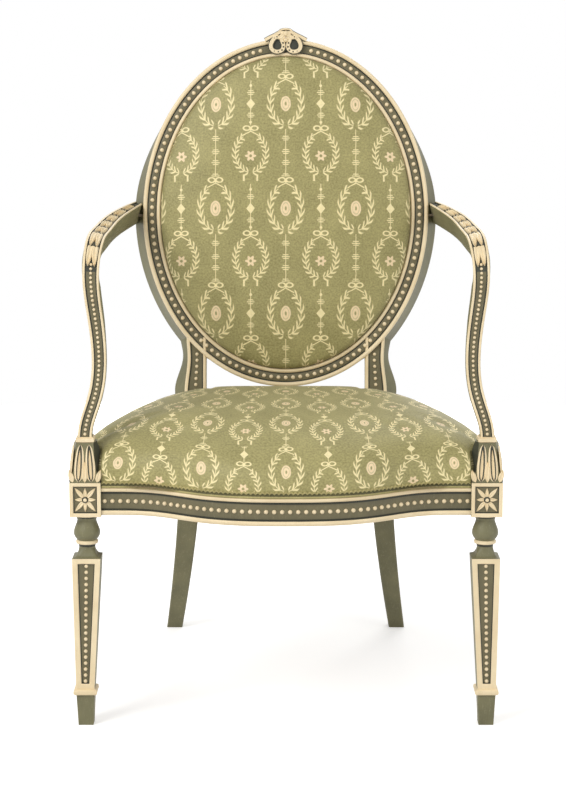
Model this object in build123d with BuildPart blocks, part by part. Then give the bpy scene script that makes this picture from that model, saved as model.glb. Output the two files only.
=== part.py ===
from build123d import *
import os
from math import atan2, cos, degrees, radians, sin, tan

# Painted armchair with an oval padded back, open arms and a domed padded seat.
# Millimetres, +X to the right seen from the front, +Y to the back, +Z up.
# The origin is on the floor under the middle of the plan, and left and right are as seen from the front.
# A depth is measured back from the front faces of the front leg blocks.

os.makedirs("parts", exist_ok=True)

# Seat frame
leg_spacing = 583.0          # between the centre lines of the front leg blocks
seat_depth = 433.0           # leg block faces to the front of the rear legs, at the rails
rail_bottom_z = 320.5
rail_height = 40.5
rail_thickness = 26.0
rail_setback = 3.0           # rails stand behind the outer faces of the leg blocks
seat_bow = 72.0              # the front rail's middle stands this far before its ends
side_bow = 12.0              # swell of the side rails' outer faces
rail_top_fillet = 6.0
rail_bottom_fillet = 7.5
back_rail_thickness = 24.0
tenon_length = 22.0
tenon_thickness = 10.0
tenon_shoulder = 6.0         # rail left above and below its tenons

# Front legs, from the block down
block_side = 45.5
block_height = 50.5
block_drop = 2.0             # the block reaches this far below the rails
block_border = 5.5
neck_top_radius = 17.4
neck_waist_radius = 13.8
neck_cove_height = 9.0
neck_cove_bend = (0.2, 0.6)  # middle of the cove's curve, as shares of its width and height
swell_radius = 18.9
swell_height = 29.0
swell_middle = 0.55          # share of the swell's height where it is widest
swell_foot_radius = 15.0
ring_radius = 16.0
ring_height = 5.5
throat_radius = 12.0
throat_height = 5.5
shoulder_height = 14.0
shoulder_spread = 0.75       # the shoulder's greatest radius as a share of the shaft's side
shaft_top = 41.5
shaft_bottom = 27.0
shaft_bottom_z = 56.0
toe_out = 5.0                # the foot stands this far outside the block's centre line
collar_side = 35.0
collar_height = 9.0
spade_top = 26.5
spade_bottom = 22.0
panel_border = 8.0
panel_sunk = 3.0

# Rear legs and the stiles above them
rear_leg_spacing = 314.0     # between the rear legs' centre lines at the rails
rear_width = 38.0
rear_foot_width = 26.5
rear_thickness = 36.0
rear_foot_thickness = 27.0
rear_splay = 34.5            # sideways reach of the rear feet past the rails
rear_sweep = 100.0           # backward reach of the rear feet past the rails
splay_power = 1.5            # the legs curve out and back more towards the feet
sweep_power = 1.6
stile_setback = 3.0          # the stiles' faces stand behind the oval's face
stile_inner_x = 131.0
stile_seat_width = 36.0
stile_neck_width = 31.0
stile_seat_cant = 17.0       # the rear of a stile is wider than its face by this much at the seat
stile_neck_cant = 8.5
stile_seat_rise = 66.0       # heights above the rails where the stile's sections are set
stile_neck_rise = 122.0
stile_fillet = 5.5
stile_over = 36.0            # the stile is drawn this far past the oval and then cut
rear_steps = 8               # sections along each half of a rear leg

# Oval back
back_rake = 9.5
oval_half_width = 235.5
oval_half_height = 286.5
oval_centre_z = 719.5
frame_face = 29.0            # width of the moulded face
frame_thickness = 30.0
outer_fillet = 7.0
inner_fillet = 6.5
ground_sunk = 4.0            # the painted ground lies this far below the fillets
ledge_width = 10.0           # ledge behind the face that the padding is nailed to
ledge_depth = 12.0
crest_joint_angle = 48.0     # joints of the oval, as angles of its ellipse
lower_joint_angle = -58.0
flare = 14.0                 # the oval's rear edge stands this far out where the arm meets it
flare_height = 8.0           # above the oval's centre
flare_foot = 11.5            # the same at the stile
flare_foot_drop = 206.0
flare_top_rise = 190.0
flare_sunk = 2.0             # the flare starts this far inside the oval's edge
flare_low_share = 0.3        # share of the flare's growth reached half way up to its peak
flare_high_share = 0.55      # and half way down from its top

# Arms and their supports
arm_height = 735.0
base_height = 57.5           # leafy base on the leg block
base_top_width = 25.0
base_rear_width = 34.0
base_face_setback = 10.0
base_thickness = 30.0
# Levels of the base: share of its height, then shares of the block's size left in its face, rear and
# thickness, and share of its setback
base_levels = (
    (0.0, 1.0, 1.0, 1.0, 0.0),
    (0.3, 0.4, 1.0, 0.8, 0.3),
    (0.65, 0.12, 0.8, 0.4, 0.7),
    (1.0, 0.0, 0.0, 0.0, 1.0),
)
arm_collar_height = 8.0
arm_collar_proud = 1.0
support_width = 20.4
knuckle_width = 26.0
arm_end_width = 14.0
support_thickness = 27.0
arm_thickness = 36.0
arm_fillet = 4.0
arm_sunk = 2.5
arm_soft_edge = 7.0          # chamfer of the arm's underside
arm_lean = 14.0              # degrees that the top of the arm turns inwards
support_waist = 20.0         # the support's waist stands this far inside the leg's line
support_setback = 36.0       # depth of the face at the waist
knuckle_inset = 11.7
arm_middle_inset = 23.5
support_hollow = 7.0         # the face goes this much deeper above the waist
support_return = 4.0         # and is still this much deeper below the knuckle
support_ease = 0.6           # share of the way back to the waist at the first bend
waist_shares = (0.7, 0.72)   # inset below and above the waist, as shares of the waist's
knuckle_shares = (0.8, 1.4)  # inset before and after the knuckle, as shares of the knuckle's
support_rises = (0.19, 0.34, 0.57, 0.745)   # heights of the line's points, as shares of the rise
arm_rises = (0.907, 0.96, 0.983)
arm_depths = (0.29, 0.58, 0.91)             # depths along the arm, as shares of the oval's depth
arm_end_slant = -0.1
knuckle_share = 0.4          # places along the line, as shares of its length
arm_joint_share = 0.33
arm_screw_share = 0.93
arm_sections = 40
arm_edge_share = 0.7         # most of the half width that the chamfer may take
arm_screw_inset = 0.4        # place of the arm screw across the oval's face
arm_dowel_radius = 5.0
arm_dowel_length = 36.0
support_pin_radius = 8.0
support_pin_length = 10.0
arm_screw_radius = 2.5
arm_screw_length = 42.0
screw_head_radius = 4.5
screw_head_height = 3.0

# Padding and cloth
seat_crown_z = 460.0
seat_crown_depth = 225.0
seat_side_fullness = 5.0     # exponents of the rolled edges: higher is squarer
seat_front_fullness = 3.0
seat_levels = (0.0, 0.4, 0.62, 0.78, 0.9, 0.97)   # heights of the seat's sections, as shares of its dome
cover_thickness = 2.0
cover_inset = 1.5            # the cover lies this far inside the rails' faces
gimp_height = 10.0
web_width = 50.0
web_thickness = 1.2
web_pitch = 88.0
cross_web_share = 0.203      # pitch of the crosswise webs as a share of the seat's depth
web_inset = 9.0
linen_thickness = 0.8
linen_inset = 7.0
back_crown = 22.0
back_fullness = 2.6
back_levels = (0.0, 0.35, 0.6, 0.8, 0.92, 0.98)
outside_back_crown = 6.0
outside_back_levels = (0.0, 0.4, 0.7, 0.9)
post_gap = 0.6               # cloth stands clear of the posts
pad_gap = 0.5                # padding stands clear of the oval's opening

# Joints and small parts
fit = 0.15                   # clearance round tenons, dowels and screws
mortise_spare = 1.0
dowel_radius = 4.0
dowel_length = 34.0
dowel_depth = 18.0           # behind the oval's face
corner_block_reach = 62.0
corner_block_height = 30.0
block_screw_radius = 2.2
block_screw_length = 30.0
block_screw_seat = 16.0      # the screw's head beds this far from the rail

# Carving
oval_pearl_radius = 3.3
oval_pearl_pitch = 12.0
rail_pearl_radius = 3.2
rail_pearl_pitch = 11.3
stile_pearl_radius = 2.9
stile_pearl_pitch = 9.9
arm_pearl_radius = 2.2
arm_pearl_pitch = 7.0
arm_pearl_lift = 0.4         # the arm's ground bulges a little between its sections
leg_pearl_radius = 2.7
leg_pearl_count = 20
bow_half_width = 34.0
bow_loop_height = 19.0
bow_ribbon = 5.0
bow_thickness = 7.0
bow_knot_radius = 7.5
bow_loop_place = 0.58        # middle of a loop, as a share of the bow's half width
bow_loop_slant = 18.0
bow_tail_drop = 0.75         # shares of the loop's height and of the bow's half width
bow_tail_length = 1.25
bow_tail_slant = 24.0
bow_flower_rise = 1.7        # in radii of the knot
rosette_leaf_width = 7.5
rosette_reach = 0.92         # share of the panel that the leaves fill
rosette_thickness = 2.5
rosette_bead_radius = 3.8

# Serpentine front: shares of the half span, from the middle out, with their shares of the bow
serpentine = ((0.0, 1.0), (0.46, 0.67), (0.725, 0.1), (1.0, 0.0))

# Places worked out from the sizes
leg_x = leg_spacing / 2
rail_top_z = rail_bottom_z + rail_height
block_bottom_z = rail_bottom_z - block_drop
block_top_z = block_bottom_z + block_height
block_inner_x = leg_x - block_side / 2
block_outer_x = leg_x + block_side / 2
rake = radians(back_rake)
oval_depth = seat_depth - stile_setback + (oval_centre_z - rail_top_z) * tan(rake)
front_reach = seat_bow - rail_setback
back_reach = oval_depth + oval_half_height * sin(rake) + frame_thickness * cos(rake)
block_face_y = (front_reach - back_reach) / 2
leg_y = block_face_y + block_side / 2
rear_leg_x = rear_leg_spacing / 2
side_face_x = block_outer_x - rail_setback
rear_inner_x = rear_leg_x - rear_width / 2
rear_outer_x = rear_leg_x + rear_width / 2
rear_side_x = rear_outer_x - rail_setback
tenon_height = rail_height - 2 * tenon_shoulder
tenon_z = rail_bottom_z + rail_height / 2
web_top_z = rail_top_z + 2 * web_thickness
padding_z = web_top_z + linen_thickness
oval_plane = Plane(
    origin=(0, block_face_y + oval_depth, oval_centre_z),
    x_dir=(1, 0, 0),
    z_dir=(0, -cos(rake), sin(rake)),
)
oval_up = Vector(0, sin(rake), cos(rake))
stile_top_z = oval_centre_z - flare_foot_drop * cos(rake)
opening_half_width = oval_half_width - frame_face
opening_half_height = oval_half_height - frame_face
pearl_half_width = oval_half_width - (outer_fillet + frame_face - inner_fillet) / 2
pearl_half_height = oval_half_height - (outer_fillet + frame_face - inner_fillet) / 2


def row_y(depth):
    """Place along Y of a depth behind the leg blocks' front faces."""
    return block_face_y + depth


def face_depth(z):
    """Depth of the raked plane that holds the oval's face, at a height."""
    return oval_depth + (z - oval_centre_z) * tan(rake)


def oval_edge_x(rise):
    """Half width of the oval at a rise above its centre, measured along the back."""
    return oval_half_width * (1 - (rise / oval_half_height) ** 2) ** 0.5


def oval_drop(x):
    """Distance along the back from the oval's centre down to its edge, at a place along X."""
    return oval_half_height * (1 - (x / oval_half_width) ** 2) ** 0.5


def between(low, high, share):
    """Value a share of the way from low to high."""
    return low + (high - low) * share


def write_piece(piece, name):
    """Label a piece and write its file."""
    piece.part.label = name
    export_step(piece.part, f"parts/{name}.step")


def write_pair(piece, name):
    """Write a piece of the right side and its mirror image on the left."""
    write_piece(piece, f"{name}_right")
    with BuildPart() as twin:
        mirror(piece.part, about=Plane.YZ)
    write_piece(twin, f"{name}_left")


def rod(middle, along, radius, length):
    """Round rod centred on a point."""
    with BuildPart() as made:
        with Locations(Plane(origin=middle, z_dir=along)):
            Cylinder(radius, length)
    return made.part


def screw(seat, along, radius, length):
    """Screw whose head beds at a point, with its shank running along a direction."""
    with BuildPart() as made:
        with Locations(Plane(origin=seat, z_dir=along)):
            Cylinder(radius, length, align=(Align.CENTER, Align.CENTER, Align.MIN))
            Cylinder(
                screw_head_radius, screw_head_height, align=(Align.CENTER, Align.CENTER, Align.MAX)
            )
    return made.part


def screw_hole(seat, along, radius, length, pocket):
    """Bore for a screw, with a pocket of a given length for its head."""
    with BuildPart() as made:
        with Locations(Plane(origin=seat, z_dir=along)):
            Cylinder(
                radius + fit, length + mortise_spare, align=(Align.CENTER, Align.CENTER, Align.MIN)
            )
            Cylinder(screw_head_radius + fit, pocket, align=(Align.CENTER, Align.CENTER, Align.MAX))
    return made.part


def pearls(places, radius):
    """Half balls standing on a moulding, from pairs of a point and the way that it faces."""
    with BuildPart() as made:
        with Locations(*[Plane(origin=point, z_dir=facing) for point, facing in places]):
            Sphere(radius, arc_size1=0, align=(Align.CENTER, Align.CENTER, Align.MIN))
    return made


def quad_face(z, corners):
    """Level four-sided section from its corners in plan."""
    with BuildSketch(Plane.XY.offset(z)) as section:
        with BuildLine():
            Polyline(*corners, close=True)
        make_face()
    return section.sketch


def square_at(z, x, side):
    """Level square section of a front leg."""
    with BuildSketch(Plane.XY.offset(z)) as section:
        with Locations((x, leg_y)):
            Rectangle(side, side)
    return section.sketch


# Rear legs and stiles: one loft of four-sided sections from the floor to the oval
def rear_section(z, inner, outer, cant, front, thickness):
    """Section of a rear leg or stile, whose rear is wider than its face by its cant."""
    y = row_y(front)
    return quad_face(
        z,
        [
            (inner, y),
            (outer, y),
            (outer + cant, y + thickness),
            (inner, y + thickness),
        ],
    )


def eased(keys, z):
    """Value at a height, easing between pairs of a height and a value."""
    for (low_z, low), (high_z, high) in zip(keys, keys[1:]):
        if z <= high_z:
            share = max(0.0, (z - low_z) / (high_z - low_z))
            return between(low, high, share * share * (3 - 2 * share))
    return keys[-1][1]


def stile_shape(z):
    """Face's outer edge and cant of a right stile at a height."""
    if z > stile_top_z:
        return oval_edge_x((z - oval_centre_z) / cos(rake)), flare_foot
    heights = (rail_top_z, rail_top_z + stile_seat_rise, rail_top_z + stile_neck_rise, stile_top_z)
    outers = (
        rear_outer_x,
        stile_inner_x + stile_seat_width,
        stile_inner_x + stile_neck_width,
        oval_edge_x(-flare_foot_drop),
    )
    cants = (0.0, stile_seat_cant, stile_neck_cant, flare_foot)
    return eased(list(zip(heights, outers)), z), eased(list(zip(heights, cants)), z)


def leg_sections():
    """Sections of a right rear leg, from the foot up to the rails."""
    sections = []
    for step in range(rear_steps + 1):
        share = 1 - step / rear_steps
        middle = rear_leg_x + rear_splay * share**splay_power
        half = between(rear_width, rear_foot_width, share) / 2
        front = seat_depth + rear_sweep * share**sweep_power
        thickness = between(rear_thickness, rear_foot_thickness, share)
        z = rail_bottom_z * (1 - share)
        sections.append(rear_section(z, middle - half, middle + half, 0, front, thickness))
    return sections


def stile_sections():
    """Sections of a right stile, from the rails up past the oval's edge."""
    sections = []
    for step in range(rear_steps + 1):
        z = between(rail_top_z, stile_top_z + stile_over, step / rear_steps)
        share = min(1.0, (z - rail_top_z) / stile_seat_rise)
        outer, cant = stile_shape(z)
        inner = between(rear_inner_x, stile_inner_x, share)
        front = face_depth(z) + stile_setback
        thickness = between(rear_thickness, frame_thickness - stile_setback, share)
        sections.append(rear_section(z, inner, outer, cant, front, thickness))
    return sections


def stile_groove():
    """Sunk ground along the face of a right stile."""
    sections = []
    for step in range(rear_steps + 1):
        z = between(rail_top_z, stile_top_z + stile_over, step / rear_steps)
        y = row_y(face_depth(z) + stile_setback)
        left = stile_inner_x + stile_fillet
        right = stile_shape(z)[0] - stile_fillet
        reach = rail_setback + ground_sunk
        before = y - reach
        behind = y + ground_sunk
        sections.append(quad_face(z, [(left, before), (right, before), (right, behind), (left, behind)]))
    with BuildPart() as made:
        loft(sections)
    return made.part


# Oval frame, made as one ring and then cut into its four rails
def oval_band(outside, inside, front, back):
    """Elliptical band of the back, from its two half sizes, between two depths behind the face."""
    with BuildPart() as made:
        with BuildSketch(oval_plane.offset(-back)):
            Ellipse(*outside)
            if inside:
                Ellipse(*inside, mode=Mode.SUBTRACT)
        extrude(amount=back - front)
    return made.part


def inset_oval(inset):
    """Half sizes of the oval's outline, drawn in by an inset."""
    return oval_half_width - inset, oval_half_height - inset


with BuildPart() as ring:
    add(oval_band(inset_oval(0), inset_oval(frame_face), 0, frame_thickness))
    add(
        oval_band(
            inset_oval(frame_face - inner_fillet), inset_oval(frame_face + ledge_width), ledge_depth,
            frame_thickness,
        )
    )
    add(
        oval_band(inset_oval(outer_fillet), inset_oval(frame_face - inner_fillet), -1, ground_sunk),
        mode=Mode.SUBTRACT,
    )


def oval_point(angle, inset, depth):
    """Point of the oval at an angle of its ellipse, an inset and a depth behind the face."""
    half_width, half_height = inset_oval(inset)
    return oval_plane.from_local_coords(
        Vector(half_width * cos(radians(angle)), half_height * sin(radians(angle)), -depth)
    )


def oval_along(angle):
    """Direction along the oval at an angle, turning from the right side up to the crest."""
    half_width, half_height = inset_oval(frame_face / 2)
    local = Vector(-half_width * sin(radians(angle)), half_height * cos(radians(angle)), 0)
    return (oval_plane.from_local_coords(local) - oval_plane.origin).normalized()


def joint_plane(angle):
    """Plane of a joint square across the oval, facing the way that the angle grows."""
    return Plane(origin=oval_point(angle, frame_face / 2, 0), z_dir=oval_along(angle))


def flare_outline(depth, rise_out, foot_out, top_out):
    """Outer part of the oval's right side at a depth, swelling past the ellipse towards the rear."""
    inner_width, inner_height = inset_oval(frame_face / 2)
    foot_v = -flare_foot_drop
    top_v = flare_top_rise
    foot = (oval_edge_x(foot_v) + foot_out, foot_v)
    peak = (oval_edge_x(flare_height) + rise_out, flare_height)
    top = (oval_edge_x(top_v) + top_out, top_v)
    low_v = between(foot_v, flare_height, 0.5)
    high_v = between(flare_height, top_v, 0.5)
    low = (oval_edge_x(low_v) + between(foot_out, rise_out, flare_low_share), low_v)
    high = (oval_edge_x(high_v) + between(top_out, rise_out, flare_high_share), high_v)
    inner_foot = (inner_width * (1 - (foot_v / inner_height) ** 2) ** 0.5, foot_v)
    inner_top = (inner_width * (1 - (top_v / inner_height) ** 2) ** 0.5, top_v)
    with BuildSketch(oval_plane.offset(-depth)) as outline:
        with BuildLine():
            ThreePointArc(foot, low, peak)
            ThreePointArc(peak, high, top)
            Line(top, inner_top)
            ThreePointArc(inner_top, (inner_width, 0), inner_foot)
            Line(inner_foot, foot)
        make_face()
    return outline.sketch


crest_cut = joint_plane(crest_joint_angle)
lower_cut = joint_plane(lower_joint_angle)
crest_cut_left = joint_plane(180 - crest_joint_angle)
lower_cut_left = joint_plane(180 - lower_joint_angle)


def joint_dowels():
    """Middle points and directions of the right dowels: two in each joint, and one up from the stile."""
    places = []
    for angle in (crest_joint_angle, lower_joint_angle):
        for inset in (frame_face / 4, 3 * frame_face / 4):
            places.append((oval_point(angle, inset, dowel_depth), oval_along(angle)))
    stile_x = stile_inner_x + stile_neck_width / 2
    stile_middle = oval_plane.from_local_coords(Vector(stile_x, -oval_drop(stile_x), -dowel_depth))
    return places + [(stile_middle, oval_up)]


def dowel_bores():
    """Bores for the right dowels of the oval, as one body."""
    with BuildPart() as made:
        for middle, along in joint_dowels():
            add(rod(middle, along, dowel_radius + fit, dowel_length + mortise_spare))
    return made.part


right_bores = dowel_bores()

with BuildPart() as oval_dowels:
    for dowel_middle, dowel_along in joint_dowels():
        add(rod(dowel_middle, dowel_along, dowel_radius, dowel_length))
    mirror(about=Plane.YZ)

with BuildPart() as oval_side:
    add(ring.part)
    split(bisect_by=Plane.YZ, keep=Keep.TOP)
    split(bisect_by=crest_cut, keep=Keep.BOTTOM)
    split(bisect_by=lower_cut, keep=Keep.TOP)
    loft(
        [
            flare_outline(ground_sunk, -flare_sunk, -flare_sunk, -flare_sunk),
            flare_outline(frame_thickness, flare, flare_foot, -flare_sunk),
        ],
        ruled=True,
    )
    add(right_bores, mode=Mode.SUBTRACT)

with BuildPart() as crest_rail:
    add(ring.part)
    split(bisect_by=crest_cut, keep=Keep.TOP)
    split(bisect_by=crest_cut_left, keep=Keep.BOTTOM)
    add(right_bores, mode=Mode.SUBTRACT)
    mirror(right_bores, about=Plane.YZ, mode=Mode.SUBTRACT)

with BuildPart() as lower_rail:
    add(ring.part)
    split(bisect_by=lower_cut, keep=Keep.BOTTOM)
    split(bisect_by=lower_cut_left, keep=Keep.TOP)
    add(right_bores, mode=Mode.SUBTRACT)
    mirror(right_bores, about=Plane.YZ, mode=Mode.SUBTRACT)

# Rear leg and stile, cut off under the oval
stile_top = Plane(origin=oval_plane.from_local_coords((0, -flare_foot_drop, 0)), z_dir=oval_up)

with BuildPart() as rear_leg:
    loft(stile_sections())
    split(bisect_by=stile_top, keep=Keep.BOTTOM)
    add(stile_groove(), mode=Mode.SUBTRACT)
    add(oval_band(inset_oval(0), None, -frame_thickness, 2 * frame_thickness), mode=Mode.SUBTRACT)
    loft(leg_sections())
    extrude(
        rear_section(rail_bottom_z, rear_inner_x, rear_outer_x, 0, seat_depth, rear_thickness),
        amount=rail_height,
    )

# Front leg: block, turned neck, tapered shaft, collar and spade foot
neck_z = block_bottom_z - neck_cove_height
swell_z = neck_z - swell_height
ring_z = swell_z - ring_height
throat_z = ring_z - throat_height
shaft_top_z = throat_z - shoulder_height
shoulder_radius = shoulder_spread * shaft_top
foot_x = leg_x + toe_out
spade_top_z = shaft_bottom_z - collar_height


def leg_face(normal_x):
    """Plane of a shaft's front face, or of its outer face, with the face's half widths."""
    height = shaft_top_z - shaft_bottom_z
    taper = (shaft_top - shaft_bottom) / 2
    middle_half = (shaft_top + shaft_bottom) / 4
    middle_x = (leg_x + foot_x) / 2
    middle_z = (shaft_top_z + shaft_bottom_z) / 2
    if normal_x:
        slope = Vector(taper - toe_out, 0, height).normalized()
        origin = (middle_x + middle_half, leg_y, middle_z)
        return Plane(origin=origin, x_dir=(0, 1, 0), z_dir=Vector(0, 1, 0).cross(slope)), 0.0
    slope = Vector(0, -taper, height).normalized()
    origin = (middle_x, leg_y - middle_half, middle_z)
    return Plane(origin=origin, x_dir=(1, 0, 0), z_dir=Vector(1, 0, 0).cross(slope)), toe_out


def leg_panel(plane, lean):
    """Tapered panel on a face of the shaft, leaning with the shaft."""
    half_height = (shaft_top_z - shaft_bottom_z) / 2 - panel_border
    top_half = shaft_top / 2 - panel_border
    bottom_half = shaft_bottom / 2 - panel_border
    with BuildSketch(plane) as panel:
        with BuildLine():
            Polyline(
                (-lean / 2 - top_half, half_height),
                (lean / 2 - bottom_half, -half_height),
                (lean / 2 + bottom_half, -half_height),
                (-lean / 2 + top_half, half_height),
                close=True,
            )
        make_face()
    return panel.sketch


def block_face(normal_x):
    """Plane of the leg block's front face, or of its outer face."""
    middle_z = block_bottom_z + block_height / 2
    if normal_x:
        return Plane(origin=(block_outer_x, leg_y, middle_z), x_dir=(0, 1, 0), z_dir=(1, 0, 0))
    return Plane(origin=(leg_x, block_face_y, middle_z), x_dir=(1, 0, 0), z_dir=(0, -1, 0))


def tenon(low, high, grow):
    """Upright tenon between two corners in plan, or its mortise where it is grown."""
    width = high[0] - low[0] + 2 * grow
    depth = high[1] - low[1] + 2 * grow
    with BuildPart() as made:
        with BuildSketch(Plane.XY.offset(tenon_z - tenon_height / 2 - grow)):
            with Locations(((low[0] + high[0]) / 2, (low[1] + high[1]) / 2)):
                Rectangle(width, depth)
        extrude(amount=tenon_height + 2 * grow)
    return made.part


# Tenons of the right side: front rail, side rail front and rear, back rail
side_slant = (side_face_x - rear_side_x) / (seat_depth - block_side)
side_across = rail_thickness * (1 + side_slant**2) ** 0.5
back_rail_depth = seat_depth + rear_thickness - rail_setback - back_rail_thickness
front_tenon_y = row_y(rail_setback + rail_thickness / 2)
side_tenon_x = side_face_x - side_across / 2
rear_tenon_x = rear_side_x - side_across / 2
back_tenon_y = row_y(back_rail_depth + back_rail_thickness / 2)
half_tenon = tenon_thickness / 2


def tenons(grow):
    """Tenons of the right side in order: front rail, side rail front, side rail rear, back rail."""
    block_back_y = row_y(block_side)
    rear_face_y = row_y(seat_depth)
    return [
        tenon(
            (block_inner_x - mortise_spare, front_tenon_y - half_tenon),
            (block_inner_x + tenon_length, front_tenon_y + half_tenon),
            grow,
        ),
        tenon(
            (side_tenon_x - half_tenon, block_back_y - tenon_length),
            (side_tenon_x + half_tenon, block_back_y + mortise_spare),
            grow,
        ),
        tenon(
            (rear_tenon_x - half_tenon, rear_face_y - mortise_spare),
            (rear_tenon_x + half_tenon, rear_face_y + tenon_length),
            grow,
        ),
        tenon(
            (rear_inner_x - mortise_spare, back_tenon_y - half_tenon),
            (rear_inner_x + tenon_length / 2, back_tenon_y + half_tenon),
            grow,
        ),
    ]


front_tenon, side_front_tenon, side_rear_tenon, back_tenon = tenons(0)
front_mortise, side_front_mortise, side_rear_mortise, back_mortise = tenons(fit)
support_pin = ((leg_x, leg_y, block_top_z), (0, 0, 1))

with BuildPart() as front_leg:
    with BuildSketch(Plane(origin=(leg_x, leg_y, 0), x_dir=(1, 0, 0), z_dir=(0, -1, 0))):
        with BuildLine():
            Line((0, throat_z), (throat_radius, throat_z))
            cove = EllipticalCenterArc(
                (shoulder_radius, throat_z),
                shoulder_radius - throat_radius,
                shoulder_height,
                start_angle=180,
                arc_size=90,
            )
            Line(cove @ 1, (0, shaft_top_z))
            Line((0, shaft_top_z), (0, throat_z))
        make_face()
    revolve(axis=Axis((leg_x, leg_y, 0), (0, 0, 1)))
    with BuildSketch(Plane.XY.offset(shaft_top_z)):
        with Locations((leg_x, leg_y)):
            Rectangle(shaft_top, shaft_top)
    extrude(amount=shoulder_height, mode=Mode.INTERSECT)
    with BuildSketch(Plane(origin=(leg_x, leg_y, 0), x_dir=(1, 0, 0), z_dir=(0, -1, 0))):
        with BuildLine():
            Line((0, block_bottom_z), (neck_top_radius, block_bottom_z))
            ThreePointArc(
                (neck_top_radius, block_bottom_z),
                (
                    between(neck_waist_radius, neck_top_radius, neck_cove_bend[0]),
                    between(block_bottom_z, neck_z, neck_cove_bend[1]),
                ),
                (neck_waist_radius, neck_z),
            )
            ThreePointArc(
                (neck_waist_radius, neck_z),
                (swell_radius, between(neck_z, swell_z, swell_middle)),
                (swell_foot_radius, swell_z),
            )
            Polyline(
                (swell_foot_radius, swell_z),
                (ring_radius, swell_z),
                (ring_radius, ring_z),
                (throat_radius, ring_z),
                (throat_radius, throat_z),
                (0, throat_z),
                (0, block_bottom_z),
            )
        make_face()
    revolve(axis=Axis((leg_x, leg_y, 0), (0, 0, 1)))
    loft([square_at(shaft_bottom_z, foot_x, shaft_bottom), square_at(shaft_top_z, leg_x, shaft_top)])
    extrude(square_at(spade_top_z, foot_x, collar_side), amount=collar_height)
    loft([square_at(0, foot_x, spade_bottom), square_at(spade_top_z, foot_x, spade_top)])
    extrude(square_at(block_bottom_z, leg_x, block_side), amount=block_height)
    for outer in (0, 1):
        extrude(leg_panel(*leg_face(outer)), amount=-panel_sunk, mode=Mode.SUBTRACT)
        with BuildSketch(block_face(outer)):
            Rectangle(block_side - 2 * block_border, block_height - 2 * block_border)
        extrude(amount=-panel_sunk, mode=Mode.SUBTRACT)
    add(front_mortise, mode=Mode.SUBTRACT)
    add(side_front_mortise, mode=Mode.SUBTRACT)
    add(
        rod(*support_pin, support_pin_radius + fit, 2 * (support_pin_length + mortise_spare)),
        mode=Mode.SUBTRACT,
    )


# Curve of the side rails' outer faces
side_chord = Vector(side_face_x - rear_side_x, seat_depth - block_side).length
side_radius = (side_chord**2 / 4 + side_bow**2) / (2 * side_bow)
side_out = Vector(seat_depth - block_side, side_face_x - rear_side_x) / side_chord
side_centre_x = (side_face_x + rear_side_x) / 2 - side_out.X * (side_radius - side_bow)
side_centre_depth = (seat_depth + block_side) / 2 - side_out.Y * (side_radius - side_bow)


def side_x(depth, shift=0.0):
    """Place along X of the right side rail's outer face at a depth, moved in by a shift."""
    return side_centre_x + ((side_radius - shift) ** 2 - (depth - side_centre_depth) ** 2) ** 0.5


# Screws of the right corner blocks: where each head beds and the way that its shank runs
side_way = Vector(side_out.X, side_out.Y, 0)


def side_screw(depth):
    """Screw into the right side rail at a depth."""
    chord_x = side_face_x - side_slant * (depth - block_side) - side_across
    inner = Vector(chord_x, row_y(depth), tenon_z)
    return inner - side_way * block_screw_seat, side_way


block_screws = [
    (
        Vector(block_inner_x - corner_block_reach / 3,
               row_y(rail_setback + rail_thickness + block_screw_seat), tenon_z),
        Vector(0, -1, 0),
    ),
    side_screw(block_side + corner_block_reach / 3),
    side_screw(seat_depth - corner_block_reach / 3),
    (
        Vector(rear_inner_x - corner_block_reach / 3, row_y(back_rail_depth - block_screw_seat), tenon_z),
        Vector(0, 1, 0),
    ),
]


def block_bores():
    """Bores for the right corner blocks' screws, as one body."""
    with BuildPart() as made:
        for seat, along in block_screws:
            add(screw_hole(seat, along, block_screw_radius, block_screw_length, corner_block_reach / 2))
    return made.part


screw_bores = block_bores()

with BuildPart() as corner_screws:
    for screw_place, screw_way in block_screws:
        add(screw(screw_place, screw_way, block_screw_radius, block_screw_length))
    mirror(about=Plane.YZ)


# Front rail: serpentine, with a sunk ground between two fillets
def front_curve(shift):
    """Points of the right half of the serpentine face, from the middle out, moved back by a shift."""
    end_y = row_y(rail_setback + shift)
    return [(span * block_inner_x, end_y - bow * seat_bow) for span, bow in serpentine]


def front_band(near, far):
    """Plan of a strip of the front rail between two distances behind its face."""
    with BuildSketch() as band:
        with BuildLine():
            face = Spline(*front_curve(near), tangents=((1, 0), (1, 0)))
            rear = Spline(*front_curve(far), tangents=((1, 0), (1, 0)))
            Line(face @ 0, rear @ 0)
            Line(face @ 1, rear @ 1)
        make_face()
        mirror(about=Plane.YZ)
    return band.sketch


def raised(sketch, z):
    """A plan moved up to a height."""
    return sketch.moved(Location((0, 0, z)))


ground_bottom_z = rail_bottom_z + rail_bottom_fillet
ground_height = rail_height - rail_bottom_fillet - rail_top_fillet

with BuildPart() as front_rail:
    extrude(raised(front_band(0, rail_thickness), rail_bottom_z), amount=rail_height)
    extrude(
        raised(front_band(-ground_sunk, ground_sunk), ground_bottom_z),
        amount=ground_height,
        mode=Mode.SUBTRACT,
    )
    add(front_tenon)
    mirror(front_tenon, about=Plane.YZ)
    add(screw_bores, mode=Mode.SUBTRACT)
    mirror(screw_bores, about=Plane.YZ, mode=Mode.SUBTRACT)


# Side rails: straight inside, swelling outside
def side_arc(shift):
    """Three points of the right side rail's outer face, moved in by a shift."""
    depths = (block_side, (block_side + seat_depth) / 2, seat_depth)
    return [(side_x(depth, shift), row_y(depth)) for depth in depths]


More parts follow.
